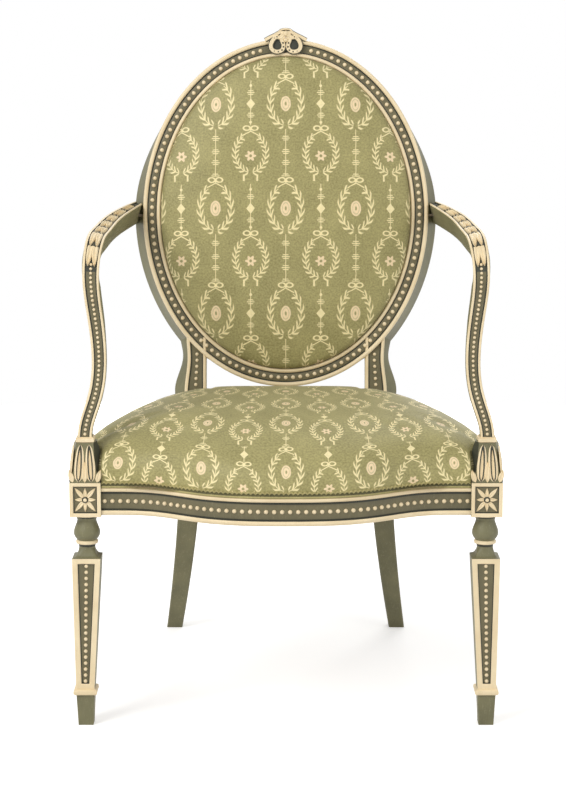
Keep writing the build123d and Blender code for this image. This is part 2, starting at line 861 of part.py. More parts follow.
with BuildPart() as side_rail:
    with BuildSketch(Plane.XY.offset(rail_bottom_z)):
        with BuildLine():
            outer_face = ThreePointArc(*side_arc(0))
            Polyline(
                outer_face @ 1,
                (rear_side_x - side_across, row_y(seat_depth)),
                (side_face_x - side_across, row_y(block_side)),
                outer_face @ 0,
            )
        make_face()
    extrude(amount=rail_height)
    with BuildSketch(Plane.XY.offset(ground_bottom_z)):
        with BuildLine():
            proud = ThreePointArc(*side_arc(-ground_sunk))
            floor = ThreePointArc(*side_arc(ground_sunk))
            Line(proud @ 0, floor @ 0)
            Line(proud @ 1, floor @ 1)
        make_face()
    extrude(amount=ground_height, mode=Mode.SUBTRACT)
    add(side_front_tenon)
    add(side_rear_tenon)
    add(screw_bores, mode=Mode.SUBTRACT)

with BuildPart() as back_rail:
    with BuildSketch(Plane.XY.offset(rail_bottom_z)):
        with Locations((0, back_tenon_y)):
            Rectangle(2 * rear_inner_x, back_rail_thickness)
    extrude(amount=rail_height)
    add(back_tenon)
    mirror(back_tenon, about=Plane.YZ)
    add(screw_bores, mode=Mode.SUBTRACT)
    mirror(screw_bores, about=Plane.YZ, mode=Mode.SUBTRACT)

# Arm and support: one sweep of channelled sections along a line, cut in two at the joint
base_top_z = block_top_z + base_height
support_foot_z = base_top_z + arm_collar_height
arm_rise = arm_height - support_foot_z
support_face_depth = base_face_setback + arm_collar_proud


def arm_point(inset, depth, share):
    """Point of the right arm's line, inside the leg's line, at a depth and a share of the rise."""
    return leg_x - inset, row_y(depth), support_foot_z + share * arm_rise


with BuildLine() as arm_line:
    Spline(
        arm_point(0, support_face_depth, 0),
        arm_point(
            waist_shares[0] * support_waist,
            between(support_face_depth, support_setback, support_ease),
            support_rises[0],
        ),
        arm_point(support_waist, support_setback, support_rises[1]),
        arm_point(waist_shares[1] * support_waist, support_setback + support_hollow, support_rises[2]),
        arm_point(knuckle_shares[0] * knuckle_inset, support_setback + support_return, support_rises[3]),
        arm_point(knuckle_inset, 2 * support_setback, arm_rises[0]),
        arm_point(knuckle_shares[1] * knuckle_inset, arm_depths[0] * oval_depth, arm_rises[1]),
        arm_point(arm_middle_inset, arm_depths[1] * oval_depth, arm_rises[2]),
        (oval_half_width + arm_end_width, row_y(arm_depths[2] * oval_depth), arm_height),
        (oval_half_width + arm_end_width / 2, row_y(oval_depth + frame_thickness), arm_height),
        tangents=((0, 0, 1), (arm_end_slant, 1, 0)),
    )
arm_curve = arm_line.edges()[0]


def arm_frame(share):
    """Point on the arm's face, the way along it and the way that it faces, at a share of its length."""
    point = arm_curve.position_at(share)
    along = arm_curve.tangent_at(share)
    facing = Vector(1, 0, 0).cross(along).normalized()
    inward = facing.cross(along)
    lean = radians(arm_lean) * max(0.0, along.Y)
    return point, along, facing * cos(lean) + inward * sin(lean)


def arm_width(share):
    """Width of the arm's face at a share of its length."""
    if share < knuckle_share:
        return between(support_width, knuckle_width, (share / knuckle_share) ** 2)
    return between(knuckle_width, arm_end_width, ((share - knuckle_share) / (1 - knuckle_share)) ** 2)


def arm_section(share):
    """Channelled section of the arm, with its face on the line and a softened underside."""
    point, along, facing = arm_frame(share)
    half = arm_width(share) / 2
    thickness = between(support_thickness, arm_thickness, min(1.0, share / knuckle_share))
    edge = min(arm_soft_edge, arm_edge_share * half)
    ground = half - arm_fillet
    with BuildSketch(Plane(origin=point, x_dir=facing.cross(along), z_dir=along)) as section:
        with BuildLine():
            Polyline(
                (-half, 0),
                (-ground, 0),
                (-ground, -arm_sunk),
                (ground, -arm_sunk),
                (ground, 0),
                (half, 0),
                (half, edge - thickness),
                (half - edge, -thickness),
                (edge - half, -thickness),
                (-half, edge - thickness),
                close=True,
            )
        make_face()
    return section.sketch


with BuildPart() as arm_sweep:
    loft([arm_section(step / (arm_sections - 1)) for step in range(arm_sections)])

joint_point, joint_along, joint_facing = arm_frame(arm_joint_share)
arm_joint = Plane(origin=joint_point, z_dir=joint_along)
arm_dowel_middle = joint_point - joint_facing * (arm_thickness / 2)


def base_section(share, face_width, rear_width_here, setback, thickness):
    """Level section of the leafy base, wider at the rear than at its face."""
    front_y = row_y(setback)
    rear_y = front_y + thickness
    return quad_face(
        between(block_top_z, base_top_z, share),
        [
            (leg_x - face_width / 2, front_y),
            (leg_x + face_width / 2, front_y),
            (leg_x + rear_width_here / 2, rear_y),
            (leg_x - rear_width_here / 2, rear_y),
        ],
    )


with BuildPart() as arm_support:
    add(arm_sweep.part)
    split(bisect_by=arm_joint, keep=Keep.BOTTOM)
    loft(
        [
            base_section(
                share,
                between(base_top_width, block_side, face),
                between(base_rear_width, block_side, rear),
                setback * base_face_setback,
                between(base_thickness, block_side, thickness),
            )
            for share, face, rear, thickness, setback in base_levels
        ]
    )
    extrude(
        base_section(
            1.0, base_top_width + 2 * arm_collar_proud, base_top_width + 2 * arm_collar_proud,
            base_face_setback - arm_collar_proud, base_thickness,
        ),
        amount=arm_collar_height,
    )
    add(rod(*support_pin, support_pin_radius, 2 * support_pin_length))
    add(
        rod(arm_dowel_middle, joint_along, arm_dowel_radius + fit, arm_dowel_length + mortise_spare),
        mode=Mode.SUBTRACT,
    )

# Screw from behind through the oval's side into the end of the arm
arm_end, arm_end_along, arm_end_facing = arm_frame(arm_screw_share)
screw_seat = oval_plane.from_local_coords(
    Vector(
        oval_half_width - arm_screw_inset * frame_face,
        (arm_end.Z - arm_thickness / 2 - oval_centre_z) / cos(rake),
        screw_head_height - frame_thickness,
    )
)
screw_along = (arm_end - arm_end_facing * (arm_thickness / 2) - screw_seat).normalized()
arm_screw = screw(screw_seat, screw_along, arm_screw_radius, arm_screw_length)
arm_screw_bore = screw_hole(
    screw_seat, screw_along, arm_screw_radius, arm_screw_length, 4 * screw_head_height
)

with BuildPart() as arm:
    add(arm_sweep.part)
    split(bisect_by=arm_joint, keep=Keep.TOP)
    add(oval_side.part, mode=Mode.SUBTRACT)
    add(arm_screw_bore, mode=Mode.SUBTRACT)
    add(
        rod(arm_dowel_middle, joint_along, arm_dowel_radius + fit, arm_dowel_length + mortise_spare),
        mode=Mode.SUBTRACT,
    )


# Seat padding: level outlines that shrink towards the crown
seat_back_depth = seat_depth + rear_thickness - rail_setback
seat_front_half = seat_crown_depth - rail_setback
seat_back_half = seat_back_depth - seat_crown_depth


def seat_plan(z, front_in, side_in, back_in):
    """Outline of the seat at a height, drawn in by given amounts at its front, sides and back."""
    shrink = 1 - side_in / side_face_x
    front_depth = rail_setback + front_in
    back_depth = seat_back_depth - back_in
    middle_depth = (front_depth + back_depth) / 2
    bow = seat_bow * (1 - front_in / seat_front_half)
    front_y = row_y(front_depth)
    curve = [(span * block_inner_x * shrink, front_y - share * bow) for span, share in serpentine]
    corner = (side_x(front_depth) * shrink, front_y)
    middle = (side_x(middle_depth) * shrink, row_y(middle_depth))
    rear = (side_x(back_depth) * shrink, row_y(back_depth))

    def other(point):
        return (-point[0], point[1])

    with BuildSketch(Plane.XY.offset(z)) as outline:
        with BuildLine():
            Line(other(corner), other(curve[-1]))
            Spline(*[other(point) for point in reversed(curve[1:])], *curve, tangents=((1, 0), (1, 0)))
            Line(curve[-1], corner)
            ThreePointArc(corner, middle, rear)
            Line(rear, other(rear))
            ThreePointArc(other(rear), other(middle), other(corner))
        make_face()
    return outline.sketch


def rolled_in(half, fullness, share):
    """How far a rolled edge draws in at a share of its height."""
    return half * (1 - (1 - share**fullness) ** (1 / fullness))


def seat_pad(bottom_z, inset, top_z):
    """Domed pad with rolled edges, standing on a height."""
    sections = []
    start = (bottom_z - rail_top_z) / (top_z - rail_top_z)
    for step in seat_levels:
        share = max(0.0, between(start, 1.0, step))
        z = between(rail_top_z, top_z, between(start, 1.0, step))
        sections.append(
            seat_plan(
                z,
                inset + rolled_in(seat_front_half, seat_front_fullness, share),
                inset + rolled_in(side_face_x, seat_side_fullness, share),
                inset + rolled_in(seat_back_half, seat_front_fullness, share),
            )
        )
    with BuildPart() as made:
        loft(sections, ruled=True)
    return made.part


def post_notches(part_height):
    """Room for the front legs, their arms and the stiles, up through the padding."""
    with BuildPart() as made:
        with BuildSketch(Plane.XY.offset(rail_bottom_z)):
            with Locations((leg_x, leg_y)):
                Rectangle(block_side + 2 * post_gap, block_side + 2 * post_gap)
            with Locations((block_outer_x, leg_y)):
                Rectangle(block_side, block_side + 2 * post_gap)
            with Locations((leg_x, block_face_y)):
                Rectangle(block_side + 2 * post_gap, block_side)
            with Locations((block_outer_x, block_face_y)):
                Rectangle(block_side, block_side)
        extrude(amount=part_height)
        with BuildSketch(Plane.XY.offset(rail_top_z - rail_height)):
            with Locations(
                (stile_inner_x - post_gap, row_y(face_depth(rail_bottom_z) + stile_setback - post_gap))
            ):
                Rectangle(4 * rear_width, 4 * rear_width, align=(Align.MIN, Align.MIN))
        extrude(amount=part_height, dir=oval_up)
        mirror(about=Plane.YZ)
    return made.part


notches = post_notches(seat_crown_z - rail_bottom_z)

lining = cover_inset + cover_thickness

with BuildPart() as seat_cover:
    add(seat_pad(rail_top_z, cover_inset, seat_crown_z))
    add(seat_pad(rail_top_z - mortise_spare, lining, seat_crown_z - cover_thickness), mode=Mode.SUBTRACT)
    add(notches, mode=Mode.SUBTRACT)

with BuildPart() as seat_stuffing:
    add(seat_pad(rail_top_z - mortise_spare, lining + pad_gap, seat_crown_z - cover_thickness - pad_gap))
    split(bisect_by=Plane.XY.offset(padding_z), keep=Keep.TOP)
    add(notches, mode=Mode.SUBTRACT)


def seat_sheet(z, inset, thickness):
    """Flat sheet of the seat's outline, drawn in all round."""
    with BuildPart() as made:
        extrude(seat_plan(z, inset, inset, inset), amount=thickness)
        add(notches, mode=Mode.SUBTRACT)
    return made


seat_linen = seat_sheet(web_top_z, linen_inset, linen_thickness)


def seat_webs(z, across):
    """Strips of webbing at a height, across the seat or from front to back."""
    length = 2 * (side_face_x + seat_back_depth)
    middle_y = row_y(seat_back_depth / 2)
    with BuildPart() as made:
        with BuildSketch(Plane.XY.offset(z)):
            for step in range(-2, 3):
                place = step * (cross_web_share * seat_depth if across else web_pitch)
                with Locations((0, middle_y + place) if across else (place, middle_y)):
                    if across:
                        Rectangle(length, web_width)
                    elif abs(step) < 2:
                        Rectangle(web_width, length)
        extrude(amount=web_thickness)
        add(seat_sheet(z, web_inset, web_thickness).part, mode=Mode.INTERSECT)
    return made


webs_lengthwise = seat_webs(rail_top_z, False)
webs_crosswise = seat_webs(rail_top_z + web_thickness, True)

with BuildPart() as seat_gimp:
    extrude(seat_plan(rail_top_z, 0, 0, 0), amount=gimp_height)
    extrude(
        seat_plan(rail_top_z, cover_inset - fit, cover_inset - fit, cover_inset - fit),
        amount=gimp_height,
        mode=Mode.SUBTRACT,
    )
    add(notches, mode=Mode.SUBTRACT)


# Back padding: ellipses that shrink towards the crown, nailed to the ledge inside the oval
def oval_dome(levels, half_width, half_height):
    """Domed oval solid through ellipses, from pairs of a rise before the face and a share of the size."""
    sections = []
    for rise, shrink in levels:
        with BuildSketch(oval_plane.offset(rise)) as section:
            Ellipse(half_width * shrink, half_height * shrink)
        sections.append(section.sketch)
    with BuildPart() as made:
        loft(sections, ruled=True)
    return made.part


def oval_pad(behind, inset, crown):
    """Domed oval pad from a depth behind the face to a crown before it."""
    dome = [
        (share * crown, (1 - share**back_fullness) ** (1 / back_fullness))
        for share in back_levels
    ]
    return oval_dome([(-behind, 1.0)] + dome, opening_half_width - inset, opening_half_height - inset)


linen_depth = ledge_depth - web_thickness
padding_depth = linen_depth - linen_thickness

with BuildPart() as back_cover:
    add(oval_pad(padding_depth, pad_gap, back_crown))
    add(
        oval_pad(padding_depth + mortise_spare, pad_gap + cover_thickness, back_crown - cover_thickness),
        mode=Mode.SUBTRACT,
    )

with BuildPart() as back_stuffing:
    add(oval_pad(padding_depth, 2 * pad_gap + cover_thickness, back_crown - cover_thickness - pad_gap))

with BuildPart() as back_linen:
    add(oval_band(inset_oval(frame_face + pad_gap), None, padding_depth, linen_depth))

with BuildPart() as back_webs:
    with BuildSketch(oval_plane.offset(-ledge_depth)):
        with GridLocations(web_pitch, 0, 3, 1):
            Rectangle(web_width, 2 * oval_half_height)
    extrude(amount=web_thickness)
    add(oval_band(inset_oval(frame_face + pad_gap), None, linen_depth, ledge_depth), mode=Mode.INTERSECT)

with BuildPart() as outside_back:
    add(
        oval_dome(
            [
                (-frame_thickness - share * outside_back_crown, (1 - share**2) ** 0.5)
                for share in outside_back_levels
            ],
            opening_half_width - ledge_width / 2,
            opening_half_height - ledge_width / 2,
        )
    )


# Corner blocks inside the rails, each with two screws
def corner_block(corners, neighbours):
    """Level block between rails, cut to fit what it stands against."""
    with BuildPart() as made:
        extrude(quad_face(tenon_z - corner_block_height / 2, corners), amount=corner_block_height)
        for neighbour in neighbours:
            add(neighbour.part, mode=Mode.SUBTRACT)
        add(screw_bores, mode=Mode.SUBTRACT)
    return made


front_block = corner_block(
    [
        (block_inner_x - corner_block_reach, row_y(rail_setback + rail_thickness / 2)),
        (leg_x, row_y(rail_setback + rail_thickness / 2)),
        (side_x(block_side + corner_block_reach) - side_across / 2, row_y(block_side + corner_block_reach)),
        (side_x(block_side + corner_block_reach) - side_across, row_y(block_side + corner_block_reach)),
    ],
    [front_rail, side_rail, front_leg],
)
rear_block = corner_block(
    [
        (rear_inner_x - corner_block_reach, row_y(back_rail_depth)),
        (side_x(seat_depth - corner_block_reach) - side_across, row_y(seat_depth - corner_block_reach)),
        (side_x(seat_depth - corner_block_reach) - side_across / 2, row_y(seat_depth - corner_block_reach)),
        (rear_leg_x, row_y(back_rail_depth)),
    ],
    [side_rail, back_rail, rear_leg],
)

with BuildPart() as oval_side_cut:
    add(oval_side.part)
    add(arm_screw_bore, mode=Mode.SUBTRACT)

with BuildPart() as arm_dowels:
    add(rod(arm_dowel_middle, joint_along, arm_dowel_radius, arm_dowel_length))
    mirror(about=Plane.YZ)

with BuildPart() as arm_screws:
    add(arm_screw)
    mirror(about=Plane.YZ)


# Carved pearls, each row from places on the floor of its moulding
def spaced(length, pitch):
    """Shares of a length at even steps of about a pitch."""
    count = max(1, round(length / pitch))
    return [(step + 0.5) / count for step in range(count)]


def both_sides(places):
    """Places of the right side and their mirror images."""
    return places + [(Vector(-p.X, p.Y, p.Z), Vector(-n.X, n.Y, n.Z)) for p, n in places]


back_facing = Vector(0, -cos(rake), sin(rake))

with BuildLine(oval_plane.offset(-ground_sunk)) as oval_pearl_line:
    EllipticalCenterArc((0, 0), pearl_half_width, pearl_half_height, start_angle=-90, arc_size=180)
oval_pearl_curve = oval_pearl_line.edges()[0]
oval_places = []
for share in spaced(oval_pearl_curve.length, oval_pearl_pitch):
    place = oval_pearl_curve.position_at(share)
    if place.X > bow_half_width or place.Z < oval_centre_z:
        oval_places.append((place, back_facing))
oval_pearls = pearls(both_sides(oval_places), oval_pearl_radius)

stile_bottom_z = rail_top_z + stile_seat_rise
stile_pearl_drop = oval_drop(stile_inner_x + stile_neck_width / 2 - 2 * stile_pearl_radius)
stile_pearl_top_z = oval_centre_z - stile_pearl_drop * cos(rake) - stile_pearl_radius
stile_places = []
for share in spaced(stile_pearl_top_z - stile_bottom_z, stile_pearl_pitch):
    z = between(stile_bottom_z, stile_pearl_top_z, share)
    x = (stile_inner_x + stile_shape(z)[0]) / 2
    stile_places.append((Vector(x, row_y(face_depth(z) + stile_setback + ground_sunk), z), back_facing))
stile_pearls = pearls(stile_places, stile_pearl_radius)

ground_z = ground_bottom_z + ground_height / 2
with BuildLine() as rail_pearl_line:
    Spline(*front_curve(ground_sunk), tangents=((1, 0), (1, 0)))
rail_pearl_curve = rail_pearl_line.edges()[0]


def rail_pearl_places(curve):
    """Places of the pearls along the floor of a rail's moulding, from its curve in plan."""
    places = []
    for share in spaced(curve.length, rail_pearl_pitch):
        along = curve.tangent_at(share)
        facing = Vector(along.Y, -along.X, 0)
        places.append((curve.position_at(share) + facing * fit + Vector(0, 0, ground_z), facing))
    return places


rail_pearls = pearls(both_sides(rail_pearl_places(rail_pearl_curve)), rail_pearl_radius)

with BuildLine() as side_pearl_line:
    ThreePointArc(*side_arc(ground_sunk))
side_pearls = pearls(rail_pearl_places(side_pearl_line.edges()[0]), rail_pearl_radius)

arm_places = []
for share in spaced(knuckle_share * arm_curve.length, arm_pearl_pitch):
    point, along, facing = arm_frame(share * knuckle_share)
    arm_places.append((point - facing * (arm_sunk - arm_pearl_lift), facing))
arm_pearls = pearls(arm_places, arm_pearl_radius)

leg_places = []
for outer in (0, 1):
    panel_plane, panel_lean = leg_face(outer)
    reach = (shaft_top_z - shaft_bottom_z) / 2 - panel_border - leg_pearl_radius
    for step in range(leg_pearl_count):
        up = between(-reach, reach, step / (leg_pearl_count - 1))
        across = -panel_lean * up / (shaft_top_z - shaft_bottom_z)
        place = panel_plane.from_local_coords(Vector(across, up, -panel_sunk))
        leg_places.append((place, panel_plane.z_dir))
leg_pearls = pearls(leg_places, leg_pearl_radius)

# Eight-leaved rosettes on the leg blocks' two outward faces
with BuildPart() as rosettes:
    leaf_x = block_side / 2 - block_border
    leaf_y = block_height / 2 - block_border
    for outer in (0, 1):
        floor_plane = block_face(outer).offset(-panel_sunk)
        with BuildSketch(floor_plane) as leaves:
            for angle in range(0, 360, 45):
                corner = 1.0 if angle % 90 == 0 else 2**0.5
                reach_x = rosette_reach * corner * leaf_x * cos(radians(angle))
                reach_y = rosette_reach * corner * leaf_y * sin(radians(angle))
                length = Vector(reach_x, reach_y).length
                with Locations(Location((reach_x / 2, reach_y / 2, 0), degrees(atan2(reach_y, reach_x)))):
                    Ellipse(length / 2, rosette_leaf_width / 2)
        extrude(leaves.sketch, amount=rosette_thickness)
        with Locations(floor_plane.offset(rosette_thickness)):
            Sphere(rosette_bead_radius, arc_size1=0, align=(Align.CENTER, Align.CENTER, Align.MIN))

# Ribbon bow on the crest: two loops, a knot, a small flower above it and two tails
with BuildPart() as crest_bow:
    bow_v = oval_half_height - bow_ribbon
    loop_x = bow_loop_place * bow_half_width
    tail_v = bow_v - bow_tail_drop * bow_loop_height
    with BuildSketch(oval_plane) as bow:
        for side in (-1, 1):
            with Locations(Location((side * loop_x, bow_v, 0), side * bow_loop_slant)):
                Ellipse(bow_half_width - loop_x, bow_loop_height / 2)
                Ellipse(
                    bow_half_width - loop_x - bow_ribbon,
                    bow_loop_height / 2 - bow_ribbon,
                    mode=Mode.SUBTRACT,
                )
            with Locations(Location((side * loop_x, tail_v, 0), -side * bow_tail_slant)):
                Rectangle(bow_tail_length * bow_half_width, bow_ribbon)
        with Locations((0, bow_v)):
            Circle(bow_knot_radius)
        with Locations((0, bow_v + bow_flower_rise * bow_knot_radius)):
            Circle(bow_knot_radius)
    extrude(bow.sketch, amount=bow_thickness)

with BuildPart() as rear_leg_cut:
    add(rear_leg.part)
    add(side_rear_mortise, mode=Mode.SUBTRACT)
    add(back_mortise, mode=Mode.SUBTRACT)
    add(right_bores, mode=Mode.SUBTRACT)

write_piece(front_rail, "front_seat_rail")
write_pair(side_rail, "side_seat_rail")
write_piece(back_rail, "back_seat_rail")
write_pair(front_leg, "front_leg")
write_pair(rear_leg_cut, "rear_leg")
write_pair(oval_side_cut, "back_side_rail")
write_piece(crest_rail, "back_crest_rail")
write_piece(lower_rail, "back_lower_rail")
write_pair(arm_support, "arm_support")
write_pair(arm, "arm")
write_piece(seat_cover, "seat_cover")
write_piece(seat_stuffing, "seat_stuffing")
write_piece(seat_linen, "seat_linen")
write_piece(webs_lengthwise, "seat_webbing_lengthwise")
write_piece(webs_crosswise, "seat_webbing_crosswise")
write_piece(seat_gimp, "seat_gimp")
write_piece(back_cover, "back_cover")
write_piece(back_stuffing, "back_stuffing")
write_piece(back_linen, "back_linen")
write_piece(back_webs, "back_webbing")
write_piece(outside_back, "outside_back_cover")
write_pair(front_block, "corner_block_front")
write_pair(rear_block, "corner_block_rear")
write_piece(corner_screws, "corner_block_screws")
write_piece(oval_dowels, "back_frame_dowels")
write_piece(arm_dowels, "arm_dowels")
write_piece(arm_screws, "arm_screws")
write_piece(oval_pearls, "back_pearls")
write_pair(stile_pearls, "stile_pearls")
write_piece(rail_pearls, "front_rail_pearls")
write_pair(side_pearls, "side_rail_pearls")
write_pair(arm_pearls, "arm_pearls")
write_pair(leg_pearls, "leg_pearls")
write_pair(rosettes, "leg_rosettes")
write_piece(crest_bow, "crest_bow")
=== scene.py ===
"""Painted oval-back armchair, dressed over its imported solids."""
import logging
import math
from dataclasses import dataclass, field
from enum import Enum
from typing import Callable, Optional, Sequence, Union

import bpy
import numpy as np
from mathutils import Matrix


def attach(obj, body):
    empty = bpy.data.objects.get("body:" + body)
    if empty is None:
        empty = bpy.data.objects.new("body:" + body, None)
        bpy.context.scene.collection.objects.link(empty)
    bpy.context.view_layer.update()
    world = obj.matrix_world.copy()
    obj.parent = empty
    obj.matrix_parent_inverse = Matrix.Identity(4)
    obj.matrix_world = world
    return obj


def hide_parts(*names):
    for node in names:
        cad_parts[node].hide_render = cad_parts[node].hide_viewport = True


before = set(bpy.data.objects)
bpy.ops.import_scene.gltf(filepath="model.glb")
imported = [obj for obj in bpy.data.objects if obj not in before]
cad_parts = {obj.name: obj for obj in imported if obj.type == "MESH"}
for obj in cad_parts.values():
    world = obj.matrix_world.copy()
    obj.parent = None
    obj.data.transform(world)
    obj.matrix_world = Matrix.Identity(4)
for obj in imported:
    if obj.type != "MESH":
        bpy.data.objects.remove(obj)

logging.basicConfig(level=logging.INFO, format="%(message)s")
log = logging.getLogger("armchair")

MM = 0.001
BLOCK_FACE_Y = -248.93
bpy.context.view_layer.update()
SWELL_FRAMES = 20
SWELL_PRESSURE = 4.0
Array = np.ndarray
Tint = tuple[int, int, int]
Point = tuple[float, float, float]
Number = Union["Field", float]
BpyMaterial = bpy.types.Material
Socket = bpy.types.NodeSocket
Colour = Union[Sequence[float], Socket]


class Coat(Enum):
    """Finishes of the frame, two paints and two of painted shade, in the order of a painted piece's material
    slots.
    """

    GREEN = 0
    CREAM = 1
    # Painted shade in grooves, hollows, undercuts and on shaded sides.
    DARK = 2
    # Lighter painted shade on the sunk grounds of channels and panels.
    MOSS = 3


def linear(red: int, green: int, blue: int) -> tuple[float, float, float, float]:
    """Colour for a shader socket from display values.

    Args:
        red: red from 0 to 255.
        green: green from 0 to 255.
        blue: blue from 0 to 255.

    Returns:
        Linear red, green, blue and alpha.
    """
    def channel(value: int) -> float:
        """Linear value of one display channel."""
        share = value / 255
        return share / 12.92 if share <= 0.04045 else ((share + 0.055) / 1.055) ** 2.4

    return channel(red), channel(green), channel(blue), 1.0


def between(low: float, high: float, share: float) -> float:
    """Value a share of the way from low to high."""
    return low + (high - low) * share


def eased(keys: Sequence[tuple[float, float]], place: float) -> float:
    """Value at a place, easing between keys.

    Args:
        keys: pairs of a place and a value, in order.
        place: where to read the value.

    Returns:
        The eased value.
    """
    if place <= keys[0][0]:
        return keys[0][1]
    for (low_at, low), (high_at, high) in zip(keys, keys[1:]):
        if place <= high_at:
            share = (place - low_at) / (high_at - low_at)
            return between(low, high, share * share * (3 - 2 * share))
    return keys[-1][1]


def unit(vector: Array) -> Array:
    """Vector of length one."""
    return vector / np.linalg.norm(vector)


def clamped_spline(knots: Array, values: Array, start: Array, end: Array) -> Callable[[Array], Array]:
    """Cubic spline through values with set slopes at both ends.

    Args:
        knots: growing places of the values.
        values: one row for each knot.
        start: slope at the first knot.
        end: slope at the last knot.

    Returns:
        A function from places to interpolated rows.
    """
    count = len(knots)
    gaps = np.diff(knots)
    steps = np.diff(values, axis=0) / gaps[:, None]
    matrix = np.zeros((count, count))
    right = np.zeros_like(values)
    matrix[0, :2] = 2 * gaps[0], gaps[0]
    matrix[-1, -2:] = gaps[-1], 2 * gaps[-1]
    right[0] = 6 * (steps[0] - start)
    right[-1] = 6 * (end - steps[-1])
    for row in range(1, count - 1):
        matrix[row, row - 1:row + 2] = gaps[row - 1], 2 * (gaps[row - 1] + gaps[row]), gaps[row]
        right[row] = 6 * (steps[row] - steps[row - 1])
    bends = np.linalg.solve(matrix, right)

    def at(places: Array) -> Array:
        """Read the spline.

        Args:
            places: where to read it.

        Returns:
            Its rows there.
        """
        cell = np.clip(np.searchsorted(knots, places) - 1, 0, count - 2)
        width = gaps[cell][:, None]
        low = (places - knots[cell])[:, None]
        high = width - low
        return (
            (bends[cell] * high**3 + bends[cell + 1] * low**3) / (6 * width)
            + (values[cell] / width - bends[cell] * width / 6) * high
            + (values[cell + 1] / width - bends[cell + 1] * width / 6) * low
        )

    return at


def run_lengths(points: Array) -> Array:
    """Length along a polyline at each of its points."""
    return np.concatenate([[0.0], np.cumsum(np.linalg.norm(np.diff(points, axis=0), axis=1))])


def whole_turn(count: int) -> Array:
    """Angles at even steps round a whole turn."""
    return np.linspace(0, 2 * math.pi, count, endpoint=False)


def strips(*runs: tuple[Coat, int]) -> list[Coat]:
    """Finishes of a section's strips, from runs of a finish and a count."""
    return [coat for coat, count in runs for _ in range(count)]


def even_steps(points: Array, count: int) -> Array:
    """Points at even steps along a polyline.

    Args:
        points: the polyline, finely divided.
        count: how many points to return.

    Returns:
        The evenly spaced points.
    """
    lengths = run_lengths(points)
    wanted = np.linspace(0.0, lengths[-1], count)
    return np.stack([np.interp(wanted, lengths, values) for values in points.T], axis=1)


def row(x: float, depth: float, z: float) -> Array:
    """Point in the row's frame, in millimetres, from its depth behind the leg blocks' faces."""
    return np.array([x, BLOCK_FACE_Y + depth, z])


@dataclass
class MeshBuilder:
    """Gathers vertices and faces in millimetres and makes one object of them."""

    points: list[Array] = field(default_factory=list)
    faces: list[tuple[int, ...]] = field(default_factory=list)
    coats: list[int] = field(default_factory=list)
    charts: dict[int, tuple[float, float]] = field(default_factory=dict)

    def add(self, points: Sequence[Array]) -> int:
        """Add points, and give the index of the first of them."""
        self.points.extend(np.asarray(point, dtype=float) for point in points)
        return len(self.points) - len(points)

    def face(self, corners: Sequence[int], coat: Coat = Coat.GREEN) -> None:
        """Add one face between points that are there."""
        self.faces.append(tuple(corners))
        self.coats.append(coat.value)

    def plate(self, ring: Sequence[Array], coat: Coat = Coat.GREEN, turned: bool = False) -> None:
        """Add one face with corners of its own.

        Args:
            ring: its corners, running left round as seen from outside.
            coat: its finish.
            turned: whether they run right round instead.
        """
        start = self.add(ring)
        corners = range(start, start + len(ring))
        self.face(corners[::-1] if turned else corners, coat)

    def fan(self, base: int, size: int, apex: int, coat: Coat = Coat.GREEN, way: int = 1) -> None:
        """Close a ring with triangles to an apex.

        Args:
            base: index of the ring's first point.
            size: how many points it has.
            apex: index of the apex.
            coat: finish of the triangles.
            way: 1 where the ring runs left round as seen from outside, or -1.
        """
        for place in range(size):
            corners = (base + place, base + (place + 1) % size, apex)
            self.face(corners[::way], coat)

    def skin(
        self, rings: Sequence[Sequence[Array]], coats: Sequence[Coat], caps: Optional[Coat] = None
    ) -> None:
        """Add a tube through rings of points.

        Args:
            rings: runs of points, all of one length.
            coats: finish of each strip from a point of a ring to the next.
            caps: finish of the two ends, or None to leave them open.
        """
        size = len(rings[0])
        start = self.add([point for ring in rings for point in ring])
        top = start + (len(rings) - 1) * size
        for near in range(start, top, size):
            for place in range(size):
                low, high = near + place, near + (place + 1) % size
                self.face((low, high, high + size, low + size), coats[place % len(coats)])
        if caps is not None:
            self.face(range(start, start + size)[::-1], caps)
            self.face(range(top, top + size), caps)

    def mirrored(self) -> "MeshBuilder":
        """Twin of a painted piece for the left side."""
        points = [point * np.array([-1.0, 1.0, 1.0]) for point in self.points]
        return MeshBuilder(points, [face[::-1] for face in self.faces], list(self.coats))

    def build(
        self, name: str, materials: Sequence[BpyMaterial], bevel: float = 0.0, sharp: float = 38.0
    ) -> bpy.types.Object:
        """Make the object.

        Args:
            name: the object's name.
            materials: materials in slot order.
            bevel: width of the softened edges in millimetres.
            sharp: edges sharper than this many degrees stay sharp.

        Returns:
            The new object, linked to the scene.
        """
        mesh = bpy.data.meshes.new(name)
        mesh.from_pydata([tuple(point * MM) for point in self.points], [], self.faces)
        for material in materials:
            mesh.materials.append(material)
        mesh.polygons.foreach_set("material_index", self.coats)
        mesh.polygons.foreach_set("use_smooth", [True] * len(self.faces))
        if self.charts:
            layer = mesh.uv_layers.new(name="cloth")
            for loop in mesh.loops:
                layer.data[loop.index].uv = self.charts[loop.vertex_index]
        mesh.validate()
        mesh.update()
        if not bevel:
            mesh.set_sharp_from_angle(angle=math.radians(sharp))
        made = bpy.data.objects.new(name, mesh)
        bpy.context.scene.collection.objects.link(made)
        if bevel:
            softened = made.modifiers.new("softened_edges", "BEVEL")
            softened.width = bevel * MM
            softened.segments = 2
            softened.limit_method = "ANGLE"
            softened.angle_limit = math.radians(sharp)
            softened.harden_normals = True
        return made


def outward(points: Array) -> Array:
    """Plan directions square to a polyline, to the right of its run.

    Args:
        points: plan points, one row each.

    Returns:
        Unit directions, one for each point.
    """
    along = np.gradient(points, axis=0)
    side = np.stack([along[:, 1], -along[:, 0]], axis=1)
    return side / np.linalg.norm(side, axis=1)[:, None]


